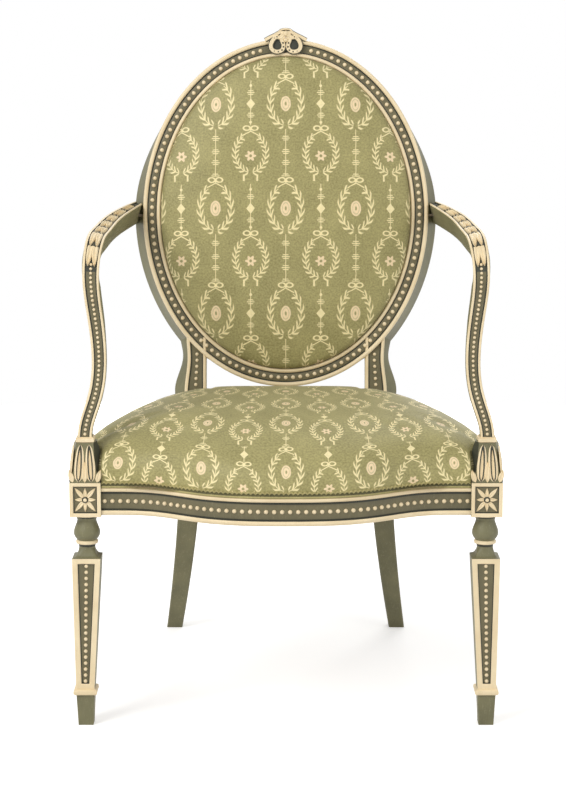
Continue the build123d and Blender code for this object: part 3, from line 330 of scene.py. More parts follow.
class Field:
    """Number that varies over a material, made of math nodes."""

    def __init__(self, tree: bpy.types.NodeTree, source: Socket) -> None:
        """Hold a socket and its tree."""
        self.tree = tree
        self.source = source

    def math(self, kind: str, *others: Number, clamp: bool = False) -> "Field":
        """Field from one math node.

        Args:
            kind: the node's operation.
            others: its further inputs.
            clamp: whether the result is held between 0 and 1.

        Returns:
            The node's output as a field.
        """
        node = self.tree.nodes.new("ShaderNodeMath")
        node.operation = kind
        node.use_clamp = clamp
        for place, item in enumerate((self, *others)):
            if isinstance(item, Field):
                self.tree.links.new(item.source, node.inputs[place])
            else:
                node.inputs[place].default_value = item
        return Field(self.tree, node.outputs[0])

    def __add__(self, other: Number) -> "Field":
        """Sum."""
        return self.math("ADD", other)

    def __sub__(self, other: Number) -> "Field":
        """Difference."""
        return self.math("SUBTRACT", other)

    def __mul__(self, other: Number) -> "Field":
        """Product."""
        return self.math("MULTIPLY", other)

    def __truediv__(self, other: Number) -> "Field":
        """Quotient."""
        return self.math("DIVIDE", other)

    def size(self) -> "Field":
        """Value without its sign."""
        return self.math("ABSOLUTE")

    def root(self) -> "Field":
        """Square root."""
        return self.math("SQRT")

    def most(self, other: Number) -> "Field":
        """Larger of two."""
        return self.math("MAXIMUM", other)

    def least(self, other: Number) -> "Field":
        """Smaller of two."""
        return self.math("MINIMUM", other)

    def wrapped(self, period: float) -> "Field":
        """Distance from the nearest whole number of periods."""
        return self.math("WRAP", period / 2, -period / 2)

    def inside(self, soft: float = 0.9) -> "Field":
        """One where a distance is below nought, with a soft edge in millimetres."""
        return (self * (-1.0 / soft)).math("ADD", 0.5, clamp=True)


def flat_places(tree: bpy.types.NodeTree, place: Socket) -> tuple[Field, Field]:
    """First two coordinates of a place.

    Args:
        tree: the nodes that it comes from.
        place: its coordinates.

    Returns:
        The first and the second as fields.
    """
    split = tree.nodes.new("ShaderNodeSeparateXYZ")
    tree.links.new(place, split.inputs[0])
    return Field(tree, split.outputs["X"]), Field(tree, split.outputs["Y"])


def oval_distance(u: Field, v: Field, half_width: float, half_height: float) -> Field:
    """Rough distance in millimetres from an ellipse round the origin.

    Args:
        u: place across.
        v: place along.
        half_width: the ellipse's half width.
        half_height: its half height.

    Returns:
        The distance, below nought inside.
    """
    across = u / half_width
    along = v / half_height
    return ((across * across + along * along).root() - 1.0) * min(half_width, half_height)


class Shader:
    """Small helper round one material's node tree."""

    MIX_INPUTS = (6, 7)
    MIX_OUTPUT = 2

    def __init__(self, name: str) -> None:
        """Start a material with a principled shader.

        Args:
            name: the material's name.
        """
        self.material = bpy.data.materials.new(name)
        self.material.use_nodes = True
        self.tree = self.material.node_tree
        self.surface = self.tree.nodes["Principled BSDF"]

    def coordinates(self) -> Socket:
        """Places on the object, in metres."""
        return self.tree.nodes.new("ShaderNodeTexCoord").outputs["Object"]

    def noise(self, place: Socket, scale: float, detail: float, stretch: Optional[Point] = None) -> Field:
        """Noise over a place.

        Args:
            place: coordinates.
            scale: noise scale for each metre.
            detail: octaves.
            stretch: scale of each axis before the noise.

        Returns:
            The noise from 0 to 1.
        """
        if stretch is not None:
            mapping = self.tree.nodes.new("ShaderNodeMapping")
            mapping.inputs["Scale"].default_value = stretch
            self.tree.links.new(place, mapping.inputs["Vector"])
            place = mapping.outputs["Vector"]
        node = self.tree.nodes.new("ShaderNodeTexNoise")
        node.inputs["Scale"].default_value = scale
        node.inputs["Detail"].default_value = detail
        self.tree.links.new(place, node.inputs["Vector"])
        return Field(self.tree, node.outputs["Fac"])

    def mix(self, share: Field, low: Colour, high: Colour) -> Socket:
        """Colour between two colours.

        Args:
            share: how much of the second colour.
            low: the first colour.
            high: the second colour.

        Returns:
            The mixed colour's socket.
        """
        node = self.tree.nodes.new("ShaderNodeMix")
        node.data_type = "RGBA"
        self.tree.links.new(share.source, node.inputs["Factor"])
        for key, colour in zip(self.MIX_INPUTS, (low, high)):
            if isinstance(colour, Socket):
                self.tree.links.new(colour, node.inputs[key])
            else:
                node.inputs[key].default_value = colour
        return node.outputs[self.MIX_OUTPUT]

    def dress(
        self, colour: Socket, rough: Field, height: Field, strength: float, distance: float
    ) -> BpyMaterial:
        """Join colour, roughness and bump to the surface.

        Args:
            colour: base colour.
            rough: roughness.
            height: bump height.
            strength: bump strength.
            distance: bump distance in metres.

        Returns:
            The finished material.
        """
        self.tree.links.new(colour, self.surface.inputs["Base Color"])
        self.tree.links.new(rough.source, self.surface.inputs["Roughness"])
        bump = self.tree.nodes.new("ShaderNodeBump")
        bump.inputs["Strength"].default_value = strength
        bump.inputs["Distance"].default_value = distance
        self.tree.links.new(height.source, bump.inputs["Height"])
        self.tree.links.new(bump.outputs["Normal"], self.surface.inputs["Normal"])
        return self.material


@dataclass(frozen=True)
class PaintFinish:
    """Old brushed paint on wood, worn a little and uneven in tone, also mixed for the coats of painted shade.
    """

    name: str
    colour: Tint
    deep: Tint
    worn: Tint
    roughness: float = 0.5

    def make(self) -> BpyMaterial:
        """Mix this paint.

        Returns:
            Its material.
        """
        shader = Shader(self.name)
        place = shader.coordinates()
        cloud = shader.noise(place, 26.0, 5.0)
        brushed = shader.noise(place, 420.0, 3.0, (1.0, 1.0, 0.14))
        speck = shader.noise(place, 900.0, 2.0)
        tone = (cloud * 1.5).math("SUBTRACT", 0.3, clamp=True)
        ground = shader.mix(tone, linear(*self.deep), linear(*self.colour))
        worn = (brushed * speck * 5.0).math("SUBTRACT", 1.45, clamp=True) * 0.4
        colour = shader.mix(worn, ground, linear(*self.worn))
        rough = cloud * 0.16 + (self.roughness - 0.08)
        return shader.dress(colour, rough, brushed + speck * 0.5, 0.22, 0.0004)


@dataclass(frozen=True)
class SilkFinish:
    """Olive silk woven with wreaths, medallions and chains in straight columns, darkened towards the back's
    oval rim as painted shade of the padding's rolled edge.
    """

    name: str = "figured_silk"
    ground: Tint = (184, 174, 116)
    shade: Tint = (130, 123, 74)
    figure: Tint = (255, 239, 184)
    blush: Tint = (252, 226, 184)
    # Colour of the painted shade at the rim.
    rim_shade_colour: Tint = (84, 82, 48)
    column: float = 57.5
    drop: float = 172.0
    squash: float = 1.0
    shift: float = -5.0
    stagger: float = 0.5
    girth: float = 1.0
    # Ellipse of the painted rim shade, and how far in from it the shade reaches.
    rim: tuple[float, float] = (219.0, 273.0)
    rim_depth: float = 34.0

    def wreath(self, u: Field, v: Field, half_width: float, half_height: float, leaves: float) -> Field:
        """Open wreath of paired leaves round the origin.

        Args:
            u: place across, in millimetres.
            v: place along.
            half_width: half width of the wreath's stem.
            half_height: half height of the stem.
            leaves: leaf pairs on each side.

        Returns:
            The wreath's mask.
        """
        across = u.size() / half_width
        along = v / half_height
        reach = (across * across + along * along).root()
        off = (reach - 1.0).size() * half_width
        turn = along.math("ARCTAN2", across)
        open_part = (turn - 1.08).inside(0.06) * (turn * -1.0 - 1.42).inside(0.06)
        phase = (turn * (leaves / 2.9) - off * 0.14).wrapped(1.0).size()
        leaf = (phase - 0.2).inside(0.2) * (off - 5.8).inside(1.0)
        stem = (off - 0.55).inside(0.8)
        return leaf.most(stem) * open_part

    def bow(self, u: Field, v: Field) -> Field:
        """Small tied bow round the origin.

        Args:
            u: place across, in millimetres.
            v: place along.

        Returns:
            The bow's mask.
        """
        side = u.size()
        loop = oval_distance(side - 6.2, v - 1.5, 5.4, 3.6).size() - 1.0
        tail = ((side * 0.55 + v + 3.4).size() - 1.0).most(side - 14.0)
        knot = oval_distance(u, v, 2.4, 2.6)
        return loop.least(tail).least(knot).inside()

    def bars(self, u: Field, v: Field, pitch: float, half: float) -> Field:
        """Chain of triple bars along a column.

        Args:
            u: place across, in millimetres.
            v: place along.
            pitch: distance between the groups of bars.
            half: half width of the widest bar.

        Returns:
            The chain's mask.
        """
        step = v.wrapped(pitch)
        bar = (step.wrapped(3.1).size() - 0.75).most(step.size() - 4.3)
        wide = u.size() + step.size() * 0.7 - half
        line = u.size() - 0.6
        return bar.most(wide).least(line).inside(0.8)

    def medallion_column(self, u: Field, v: Field) -> tuple[Field, Field]:
        """Columns with oval medallions.

        Args:
            u: place across, wrapped to the column.
            v: place along, wrapped to the drop.

        Returns:
            Masks of the figure and of its blush-toned parts.
        """
        heart = oval_distance(u, v, 8.4, 12.6).inside()
        ring = (oval_distance(u, v, 5.4, 9.2).size() - 0.45).inside() * 0.55
        pip = oval_distance(u, v, 1.6, 3.2).inside()
        wreath = self.wreath(u, v, 25.5, 36.0, 7.6)
        bow = self.bow(u, v - 45.0)
        far = (v * -1.0 + 52.0).inside(1.0).most((v + 42.0).inside(1.0))
        chain = self.bars(u, v - 75.0, 22.0, 6.8) * far
        medallion = (heart - ring - pip).most(0.0)
        return medallion.most(wreath).most(bow).most(chain), medallion

    def rosette_column(self, u: Field, v: Field) -> tuple[Field, Field]:
        """Columns with rosettes in husk wreaths.

        Args:
            u: place across, wrapped to the column.
            v: place along, wrapped to the drop.

        Returns:
            Masks of the figure and of its blush-toned parts.
        """
        reach = (u * u + v * v).root()
        turn = v.math("ARCTAN2", u)
        petal = (turn * 6.0).math("COSINE") * 1.9 + 7.4
        flower = (reach - petal).inside()
        pip = (reach - 2.3).inside()
        wreath = self.wreath(u, v - 4.0, 25.0, 31.0, 10.0)
        bow = self.bow(u, v - 44.0)
        tassel = ((u.size() - 11.0).size() - 1.5).most((v + 36.0).size() - 5.5).inside()
        far = (v * -1.0 + 50.0).inside(1.0).most((v + 46.0).inside(1.0))
        middle = (v.size() - self.drop / 2).size()
        diamond = (u.size() * 1.25 + middle - 9.0).inside()
        dot = oval_distance(u, middle - 31.0, 2.4, 2.4).inside()
        chain = self.bars(u, middle - 19.0, 60.0, 6.4)
        figure = flower.most(wreath).most(bow).most(tassel).most(chain.most(diamond).most(dot) * far)
        return (figure - pip).most(0.0), flower

    def make(self) -> BpyMaterial:
        """Weave the silk, laid by the cloth's own coordinates.

        Returns:
            Its material.
        """
        shader = Shader(self.name)
        chart = shader.tree.nodes.new("ShaderNodeUVMap")
        chart.uv_map = "cloth"
        cloth = chart.outputs["UV"]
        u, along = (metres * 1000.0 for metres in flat_places(shader.tree, cloth))
        # Painted shade: the silk darkens towards the oval's rim, where the padding rolls away from the light.
        edge = oval_distance(u, along, *self.rim) + self.rim_depth
        rim_shade = edge.math("DIVIDE", self.rim_depth, clamp=True)
        v = (along + self.shift) * self.squash
        wobble = shader.noise(cloth, 120.0, 2.0) - 0.5
        u = u + wobble * 1.6
        v = v + wobble * -1.4
        period = 2 * self.column
        first, first_blush = self.medallion_column(u.wrapped(period) / self.girth, v.wrapped(self.drop))
        second, second_blush = self.rosette_column(
            (u - self.column).wrapped(period) / self.girth,
            (v - self.drop * self.stagger).wrapped(self.drop),
        )
        fade = shader.noise(cloth, 260.0, 3.0) * 0.5 + 0.62
        figure = (first.most(second) * fade).least(1.0)
        blush = first_blush.most(second_blush)
        slub = shader.noise(cloth, 900.0, 2.0, (0.25, 2.2, 1.0))
        warp = shader.noise(cloth, 1400.0, 2.0, (2.4, 0.2, 1.0))
        weave = (slub + warp) * 0.5
        cloud = shader.noise(cloth, 18.0, 4.0)
        mottle = shader.noise(cloth, 330.0, 3.0)
        tone = (weave * 1.3 + cloud * 0.8 + mottle * 1.7).math("SUBTRACT", 1.4, clamp=True)
        ground = shader.mix(tone, linear(*self.shade), linear(*self.ground))
        threads = shader.mix(blush, linear(*self.figure), linear(*self.blush))
        rim_shade_share = rim_shade * rim_shade * 0.5
        colour = shader.mix(rim_shade_share, shader.mix(figure, ground, threads), linear(*self.rim_shade_colour))
        shader.surface.inputs["Sheen Weight"].default_value = 0.12
        shader.surface.inputs["Sheen Roughness"].default_value = 0.4
        return shader.dress(colour, weave * 0.2 + 0.46, weave + figure * 0.8, 0.28, 0.0005)


@dataclass(frozen=True)
class WovenFinish:
    """Plain woven cloth, from hessian to webbing, by the place on the object."""

    name: str
    colour: Tint
    shade: Tint
    thread: float
    stripe: float = 0.0
    stripe_colour: Tint = (96, 52, 38)

    def make(self) -> BpyMaterial:
        """Weave this cloth.

        Returns:
            Its material.
        """
        shader = Shader(self.name)
        place = shader.coordinates()
        turns = 2 * math.pi / (self.thread * MM)
        x, y = flat_places(shader.tree, place)
        across = (x * turns).math("SINE")
        along = (y * turns).math("SINE")
        weave = across * along * 0.5 + 0.5
        fibre = shader.noise(place, 700.0, 3.0)
        tone = (weave * 0.7 + fibre * 0.6).math("SUBTRACT", 0.15, clamp=True)
        ground = shader.mix(tone, linear(*self.shade), linear(*self.colour))
        if self.stripe:
            band = (x * 1000.0).wrapped(self.stripe).size()
            cross_band = (y * 1000.0).wrapped(self.stripe).size()
            line = (band.least(cross_band) - 1.2).inside() * 0.35
            ground = shader.mix(line, ground, linear(*self.stripe_colour))
        return shader.dress(ground, fibre * 0.1 + 0.82, weave + fibre * 0.4, 0.5, 0.0006)


@dataclass(frozen=True)
class BeechFinish:
    """Bare seat-frame wood with straight grain."""

    name: str = "bare_beech"
    colour: Tint = (176, 134, 92)
    shade: Tint = (128, 90, 58)

    def make(self) -> BpyMaterial:
        """Plane the bare wood.

        Returns:
            Its material.
        """
        shader = Shader(self.name)
        place = shader.coordinates()
        grain = shader.noise(place, 90.0, 6.0, (0.25, 2.0, 2.0))
        fleck = shader.noise(place, 800.0, 2.0, (0.3, 1.0, 1.0))
        tone = (grain * 1.2 + fleck * 0.4).math("SUBTRACT", 0.3, clamp=True)
        colour = shader.mix(tone, linear(*self.shade), linear(*self.colour))
        return shader.dress(colour, grain * 0.2 + 0.55, grain + fleck * 0.5, 0.3, 0.0005)


@dataclass(frozen=True)
class SteelFinish:
    """Dull old screw steel."""

    name: str = "screw_steel"
    colour: Tint = (150, 146, 140)
    shade: Tint = (92, 84, 76)

    def make(self) -> BpyMaterial:
        """Dull the screws' steel.

        Returns:
            Its material.
        """
        shader = Shader(self.name)
        place = shader.coordinates()
        stain = shader.noise(place, 300.0, 4.0)
        colour = shader.mix(stain, linear(*self.shade), linear(*self.colour))
        shader.surface.inputs["Metallic"].default_value = 1.0
        return shader.dress(colour, stain * 0.3 + 0.3, stain, 0.2, 0.0003)


@dataclass
class Palette:
    """All the chair's materials, made once."""

    green: BpyMaterial
    cream: BpyMaterial
    dark: BpyMaterial
    moss: BpyMaterial
    silk: BpyMaterial
    seat_silk: BpyMaterial
    braid: BpyMaterial
    cord: BpyMaterial
    linen: BpyMaterial
    webbing: BpyMaterial
    beech: BpyMaterial
    steel: BpyMaterial

    @classmethod
    def mix_all(cls) -> "Palette":
        """Make every material.

        Returns:
            The chair's palette.
        """
        return cls(
            green=PaintFinish("green_paint", (130, 126, 92), (98, 95, 67), (172, 164, 128)).make(),
            cream=PaintFinish("cream_paint", (252, 235, 198), (232, 209, 166), (206, 180, 134), 0.45).make(),
            # The dark coat and the sunk grounds' coat are painted shade, darker copies of the green paint.
            dark=PaintFinish("shadow_paint", (64, 64, 48), (42, 45, 36), (94, 90, 68), 0.6).make(),
            moss=PaintFinish("sunk_shade_paint", (120, 112, 82), (92, 86, 60), (156, 146, 110)).make(),
            silk=SilkFinish().make(),
            # The seat's silk has its painted rim shade set so far out that none of it falls on the seat.
            seat_silk=SilkFinish(
                "figured_seat_silk", drop=130.0, squash=1.25, shift=160.0, stagger=0.75, girth=0.8,
                rim=(900.0, 900.0),
            ).make(),
            braid=PaintFinish("gimp_braid", (112, 106, 66), (72, 70, 44), (150, 140, 90), 0.75).make(),
            cord=PaintFinish("gimp_cord", (196, 184, 126), (150, 140, 90), (224, 210, 156), 0.75).make(),
            linen=WovenFinish("hessian", (196, 174, 132), (136, 112, 76), 1.9).make(),
            webbing=WovenFinish("jute_webbing", (184, 150, 104), (120, 92, 58), 2.6, 50.0).make(),
            beech=BeechFinish().make(),
            steel=SteelFinish().make(),
        )

    def painted(self) -> list[BpyMaterial]:
        """Materials of a painted piece, in the order of its coats."""
        return [self.green, self.cream, self.dark, self.moss]


def fit_piece(made: bpy.types.Object, slot: str, *nodes: str) -> bpy.types.Object:
    """Fix a piece to the chair and hide the solids that it stands for.

    Args:
        made: the piece.
        slot: the record's material slot, which is not used.
        nodes: CAD nodes that it replaces.

    Returns:
        The same piece.
    """
    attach(made, "root")
    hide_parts(*nodes)
    log.info("%s: %d faces", made.name, len(made.data.polygons))
    return made


def fit_painted(
    mesh: MeshBuilder, node: str, palette: Palette, slot: str, bevel: float = 0.0, sharp: float = 38.0
) -> None:
    """Make a painted piece that stands for one node.

    Args:
        mesh: the piece's mesh.
        node: the CAD node that it replaces.
        palette: the chair's materials.
        slot: the record's material slot.
        bevel: width of the softened edges in millimetres.
        sharp: edges sharper than this many degrees stay sharp.
    """
    made = mesh.build(f"dressed_{node}", palette.painted(), bevel, sharp)
    fit_piece(made, slot, node)


def fit_pair(right: MeshBuilder, stem: str, palette: Palette, slot: str, bevel: float = 0.0) -> None:
    """Make a right piece and its mirror image.

    Args:
        right: the right piece's mesh.
        stem: name of the two nodes without their sides.
        palette: the chair's materials.
        slot: the record's material slot.
        bevel: width of the softened edges.
    """
    for side, mesh in (("right", right), ("left", right.mirrored())):
        fit_painted(mesh, f"{stem}_{side}", palette, slot, bevel)


def plump(made: bpy.types.Object, held: Sequence[int], most: float) -> None:
    """Swell a pad by a short cloth simulation.

    Args:
        made: the pad.
        held: vertices that stay where they are tacked.
        most: how far a vertex may move, in millimetres.
    """
    start = np.array([corner.co for corner in made.data.vertices])
    tacked = made.vertex_groups.new(name="tacked_edge")
    tacked.add(list(held), 1.0, "REPLACE")
    swell = made.modifiers.new("swell", "CLOTH")
    cloth = swell.settings
    cloth.quality = 6
    cloth.mass = 0.25
    cloth.bending_stiffness = 1.2
    cloth.use_pressure = True
    cloth.uniform_pressure_force = SWELL_PRESSURE
    cloth.vertex_group_mass = tacked.name
    cloth.effector_weights.gravity = 0.0
    swell.collision_settings.use_collision = False
    for number in range(1, SWELL_FRAMES + 1):
        bpy.context.scene.frame_set(number)
    swollen = made.evaluated_get(bpy.context.evaluated_depsgraph_get())
    shift = np.array([corner.co for corner in swollen.data.vertices]) - start
    made.modifiers.remove(swell)
    made.vertex_groups.remove(tacked)
    bpy.context.scene.frame_set(1)
    lengths = np.linalg.norm(shift, axis=1)
    shift *= (np.minimum(lengths, most * MM) / np.maximum(lengths, 1e-9))[:, None]
    made.data.vertices.foreach_set("co", (start + shift).ravel())
    made.data.update()
    log.info("%s: swelled by up to %.1f mm", made.name, 1000 * min(lengths.max(), most * MM))


def bead(mesh: MeshBuilder, place: Array, facing: Array, radius: float, coat: Coat = Coat.CREAM) -> None:
    """Add a carved pearl standing on a point.

    Args:
        mesh: where it goes.
        place: centre of its foot.
        facing: the way that it stands.
        radius: its radius.
        coat: its finish.
    """
    facing = unit(facing)
    across = unit(np.cross(facing, [0.31, 0.43, 0.84]))
    up = np.cross(facing, across)
    spokes = [across * math.cos(turn) + up * math.sin(turn) for turn in whole_turn(12)]
    rings = []
    for lift in (-0.3, 0.25, 0.6, 0.86):
        middle = place + facing * radius * lift
        reach = radius * math.sqrt(1 - lift * lift)
        rings.append([middle + reach * spoke for spoke in spokes])
    mesh.skin(rings, [coat])
    apex = mesh.add([place + facing * radius])
    mesh.fan(apex - len(spokes), len(spokes), apex, coat)


@dataclass(frozen=True)
class LeafCut:
    """How a leaf is carved.

    The sizes are its greatest width, the height of its ridges and how far its tip lifts off. A lower
    blunt makes it rounder, heart is the coat of its hollow middle, painted shade there when it is the
    dark coat, and so many steps from its foot are painted dark as the shade under the leaf before.
    """

    width: float
    lift: float
    curl: float
    blunt: float = 0.8
    heart: Coat = Coat.CREAM
    shaded: int = 0


def leaf_on(mesh: MeshBuilder, frames: Sequence[tuple[Array, Array, Array]], cut: LeafCut) -> None:
    """Add a carved leaf along a run of frames.

    Args:
        mesh: where it goes.
        frames: middle, way across and facing at even steps from its foot to its tip.
        cut: how it is carved.
    """
    rings = []
    for step, (middle, side, facing) in enumerate(frames):
        share = step / (len(frames) - 1)
        half = cut.width / 2 * max(0.06, math.sin(math.pi * share**0.75) ** cut.blunt)
        swell = 0.45 + 0.55 * math.sin(math.pi * min(1.0, share * 1.1))
        rise = cut.lift * swell + cut.curl * share * share
        flank = [(-1, -0.6), (-0.94, rise * 0.6), (-0.55, rise)]
        section = flank + [(0, rise * 0.55)] + [(-across, up) for across, up in flank[::-1]]
        rings.append([middle + side * half * across + facing * up for across, up in section])
    if cut.shaded:
        mesh.skin(rings[:cut.shaded + 1], [Coat.DARK])
    coats = strips((Coat.CREAM, 2), (cut.heart, 2), (Coat.CREAM, 3))
    mesh.skin(rings[cut.shaded:], coats, caps=Coat.CREAM)


def leaf(mesh: MeshBuilder, foot: Array, along: Array, facing: Array, length: float, cut: LeafCut) -> None:
    """Add a straight carved leaf, lying on a face.

    Args:
        mesh: where it goes.
        foot: point where it starts.
        along: the way that it grows.
        facing: the way that its face looks.
        length: its length.
        cut: how it is carved.
    """
    along = unit(along)
    facing = unit(facing)
    side = np.cross(along, facing)
    frames = [(foot + along * length * share, side, facing) for share in np.linspace(0, 1, 11)]
    leaf_on(mesh, frames, cut)


def box_sides(top: Array, bottom: Array) -> list[Array]:
    """Side quads of a post, each as low left, low right, high right, high left seen from outside.

    Args:
        top: four corners at the top: front left, front right, back right, back left.
        bottom: the same at the bottom.

    Returns:
        Quads in the order front, right, back, left.
    """
    quads = []
    for place in range(4):
        turn = (place + 1) % 4
        quads.append(np.array([bottom[place], bottom[turn], top[turn], top[place]]))
    return quads


def framed_side(mesh: MeshBuilder, quad: Array, border: float, sunk: float) -> None:
    """Add a face with a cream border round a sunk panel.

    Args:
        mesh: where it goes.
        quad: its corners: low left, low right, high right, high left.
        border: width of the border.
        sunk: depth of the panel.
    """
    low = np.linalg.norm(quad[1] - quad[0])
    high = np.linalg.norm(quad[2] - quad[3])
    tall = np.linalg.norm(quad[3] - quad[0])
    facing = unit(np.cross(quad[1] - quad[0], quad[3] - quad[0]))
    edges = ((quad[0], quad[1]), (quad[3], quad[2]))

    def at(across: float, up: float) -> Array:
        """Point of the face from two shares."""
        foot, head = (left * (1 - across) + right * across for left, right in edges)
        return foot * (1 - up) + head * up

    loops = []
    steps = ((0.0, 0.0), (border - 1.2, 0.0), (border, 0.9), (border, sunk), (border + 1.3, sunk))
    for inset, down in steps:
        up = inset / tall
        foot, head = inset / between(low, high, up), inset / between(low, high, 1 - up)
        corners = [at(foot, up), at(1 - foot, up), at(1 - head, 1 - up), at(head, 1 - up)]
        loops.append(np.array(corners) + facing * -down)
    # The border's step down into the panel is painted dark as painted shade, and the panel's floor gets a
    # lighter painted shade.
    for near, far, coat in zip(loops, loops[1:], strips((Coat.CREAM, 2), (Coat.DARK, 2))):
        for ring in box_sides(far, near):
            mesh.plate(ring, coat)
    mesh.plate(loops[-1], Coat.MOSS)


def square(x: float, depth: float, z: float, side: float) -> Array:
    """Corners of a level square: front left, front right, back right, back left."""
    half = side / 2
    return np.array([row(x + a * half, depth + b * half, z) for a, b in ((-1, -1), (1, -1), (1, 1), (-1, 1))])


def lathe(mesh: MeshBuilder, x: float, depth: float, profile: Sequence[tuple[float, float, Coat]]) -> None:
    """Add a turned shape.

    Args:
        mesh: where it goes.
        x: place of its axis across.
        depth: depth of its axis.
        profile: radius, height and finish of the strip that follows, from the top down.
    """
    turns = whole_turn(40)
    for (r0, z0, coat), (r1, z1, _) in zip(profile, profile[1:]):
        rings = [
            [row(x + r * math.cos(t), depth + r * math.sin(t), z) for t in turns]
            for r, z in ((r1, z1), (r0, z0))
        ]
        mesh.skin(rings, [coat])


@dataclass
class OvalBack:
    """Moulded oval of the back: four rails, pearls, bow, and the padding inside it."""

    palette: Palette
    half_width: float = 235.5
    half_height: float = 286.5
    centre_z: float = 719.5
    centre_depth: float = 489.99
    rake: float = math.radians(9.5)
    face: float = 29.0
    outer_fillet: float = 7.0
    inner_fillet: float = 6.5
    thickness: float = 30.0
    ledge: float = 10.0
    ledge_depth: float = 12.0
    ground: float = 4.0
    crest_joint: float = 48.0
    lower_joint: float = -58.0
    pearl_radius: float = 3.4
    pearl_pitch: float = 12.0
    pearl_lift: float = 0.3
    bow_half_width: float = 34.0
    bow_clear: float = 30.0
    loop_x: float = 14.0
    loop_drop: float = 10.0
    loop_half_width: float = 10.2
    loop_half_height: float = 12.2
    crown: float = 22.0
    fullness: float = 2.6
    outside_crown: float = 6.0
    pad_swell: float = 3.0
    ring_points: int = 128
    ring_count: int = 40

    def facing(self) -> Array:
        """The way that the back's face looks."""
        return np.array([0.0, -math.cos(self.rake), math.sin(self.rake)])

    def up(self) -> Array:
        """The way up along the back."""
        return np.array([0.0, math.sin(self.rake), math.cos(self.rake)])

    def place(self, x: float, v: float, behind: float) -> Array:
        """Point from a place across, a rise along the back and a depth behind its face."""
        return row(x, self.centre_depth, self.centre_z) + self.up() * v - self.facing() * behind

    def flare(self, v: float) -> float:
        """How far the rear edge of the oval stands out at a rise."""
        return eased(((-246.0, 0.0), (-206.0, 11.5), (8.0, 14.0), (190.0, 0.0)), v)

    def rim(self, turn: float, inset: float, behind: float) -> Array:
        """Point of the oval at a turn in radians, an inset from its edge and a depth."""
        wide, tall = self.half_width - inset, self.half_height - inset
        return self.place(wide * math.cos(turn), tall * math.sin(turn), behind)

    def section(self, turn: float) -> Array:
        """Moulded section of the rail at a turn.

        Args:
            turn: the ellipse's angle in radians.

        Returns:
            The section's points, from the outer edge across the face and round the rear.
        """
        out = self.flare(self.half_height * math.sin(turn))
        inner, sunk, rear = self.face, self.ground, self.thickness
        profile = [
            (0.0, 4.5), (0.2, 2.4), (1.1, 0.8), (3.0, 0.0), (5.2, 0.5), (6.6, 1.8), (7.0, 3.0),
            (7.3, sunk + 0.8), (9.2, sunk + 0.5), (12.0, sunk - 0.2), (17.5, sunk - 0.2),
            (20.6, sunk + 0.5), (22.2, sunk + 0.8), (22.5, 3.0), (23.0, 1.5), (24.4, 0.4),
            (26.2, 0.0), (28.0, 0.8), (inner, 2.6), (inner, self.ledge_depth),
            (inner + self.ledge, self.ledge_depth), (inner + self.ledge, rear),
            (1.5 - out, rear), (-out, rear - 1.5),
        ]
        return np.array([self.rim(turn, inset, behind) for inset, behind in profile])

    def rail(self, start: float, end: float) -> MeshBuilder:
        """One rail of the oval.

        Args:
            start: first angle in degrees.
            end: last angle in degrees.

        Returns:
            The rail's mesh.
        """
        mesh = MeshBuilder()
        # Dark strips paint the shade in the steps down to and up from the sunk ground and on the opening's
        # inner wall; the sunk ground carries a lighter painted shade.
        fillets = strips((Coat.CREAM, 6), (Coat.DARK, 2), (Coat.MOSS, 3), (Coat.DARK, 2), (Coat.CREAM, 5))
        count = max(12, int((end - start) / 1.6))
        rings = [self.section(math.radians(angle)) for angle in np.linspace(end, start, count)]
        mesh.skin(rings, fillets + strips((Coat.DARK, 1), (Coat.GREEN, 5)), caps=Coat.GREEN)
        return mesh

    def build_rails(self) -> None:
        """Make the four rails."""
        spans = {
            "back_crest_rail": (self.crest_joint, 180 - self.crest_joint),
            "back_side_rail_right": (self.lower_joint, self.crest_joint),
            "back_side_rail_left": (180 - self.crest_joint, 180 - self.lower_joint),
            "back_lower_rail": (180 - self.lower_joint, 360 + self.lower_joint),
        }
        for node, (start, end) in spans.items():
            fit_painted(self.rail(start, end), node, self.palette, "painted_wood", sharp=42.0)

    def build_pearls(self) -> None:
        """Make the row of pearls round the oval, broken under the bow."""
        mesh = MeshBuilder()
        middle = (self.outer_fillet + self.face - self.inner_fillet) / 2
        behind = self.ground - self.pearl_lift
        turns = np.linspace(-0.5 * math.pi, 1.5 * math.pi, 2400)
        fine = np.array([self.rim(turn, middle, behind) for turn in turns])
        count = round(run_lengths(fine)[-1] / self.pearl_pitch)
        for point in even_steps(fine, count + 1)[:-1]:
            if abs(point[0]) > self.bow_clear or point[2] < self.centre_z:
                bead(mesh, point, self.facing(), self.pearl_radius)
        fit_painted(mesh, "back_pearls", self.palette, "cream_carving")

    def ribbon(self, mesh: MeshBuilder, path: Sequence[Point], width: float) -> None:
        """Add a carved ribbon on the face of the back.

        Args:
            mesh: where it goes.
            path: places across, along and before the face.
            width: its width.
        """
        points = even_steps(np.array(path, dtype=float), 26)
        along = np.gradient(points, axis=0)
        half = [(-0.7, -2.2), (-0.7, -0.5), (-0.5, -0.3), (-0.5, 0.6), (-0.3, 1.5)]
        section = half + [(0.0, 1.0)] + [(-across, lift) for across, lift in half[::-1]]
        rings = []
        for (x, v, rise), (dx, dv, _) in zip(points, along):
            side = unit(np.array([-dv, dx]))
            ring = [
                self.place(x + side[0] * across * width, v + side[1] * across * width, -rise - lift)
                for across, lift in section
            ]
            rings.append(ring[::-1])
        # The ribbon's edges are painted dark as painted shade, which outlines it.
        coats = strips((Coat.GREEN, 1), (Coat.DARK, 1), (Coat.CREAM, 6), (Coat.DARK, 1), (Coat.GREEN, 2))
        mesh.skin(rings, coats, caps=Coat.CREAM)

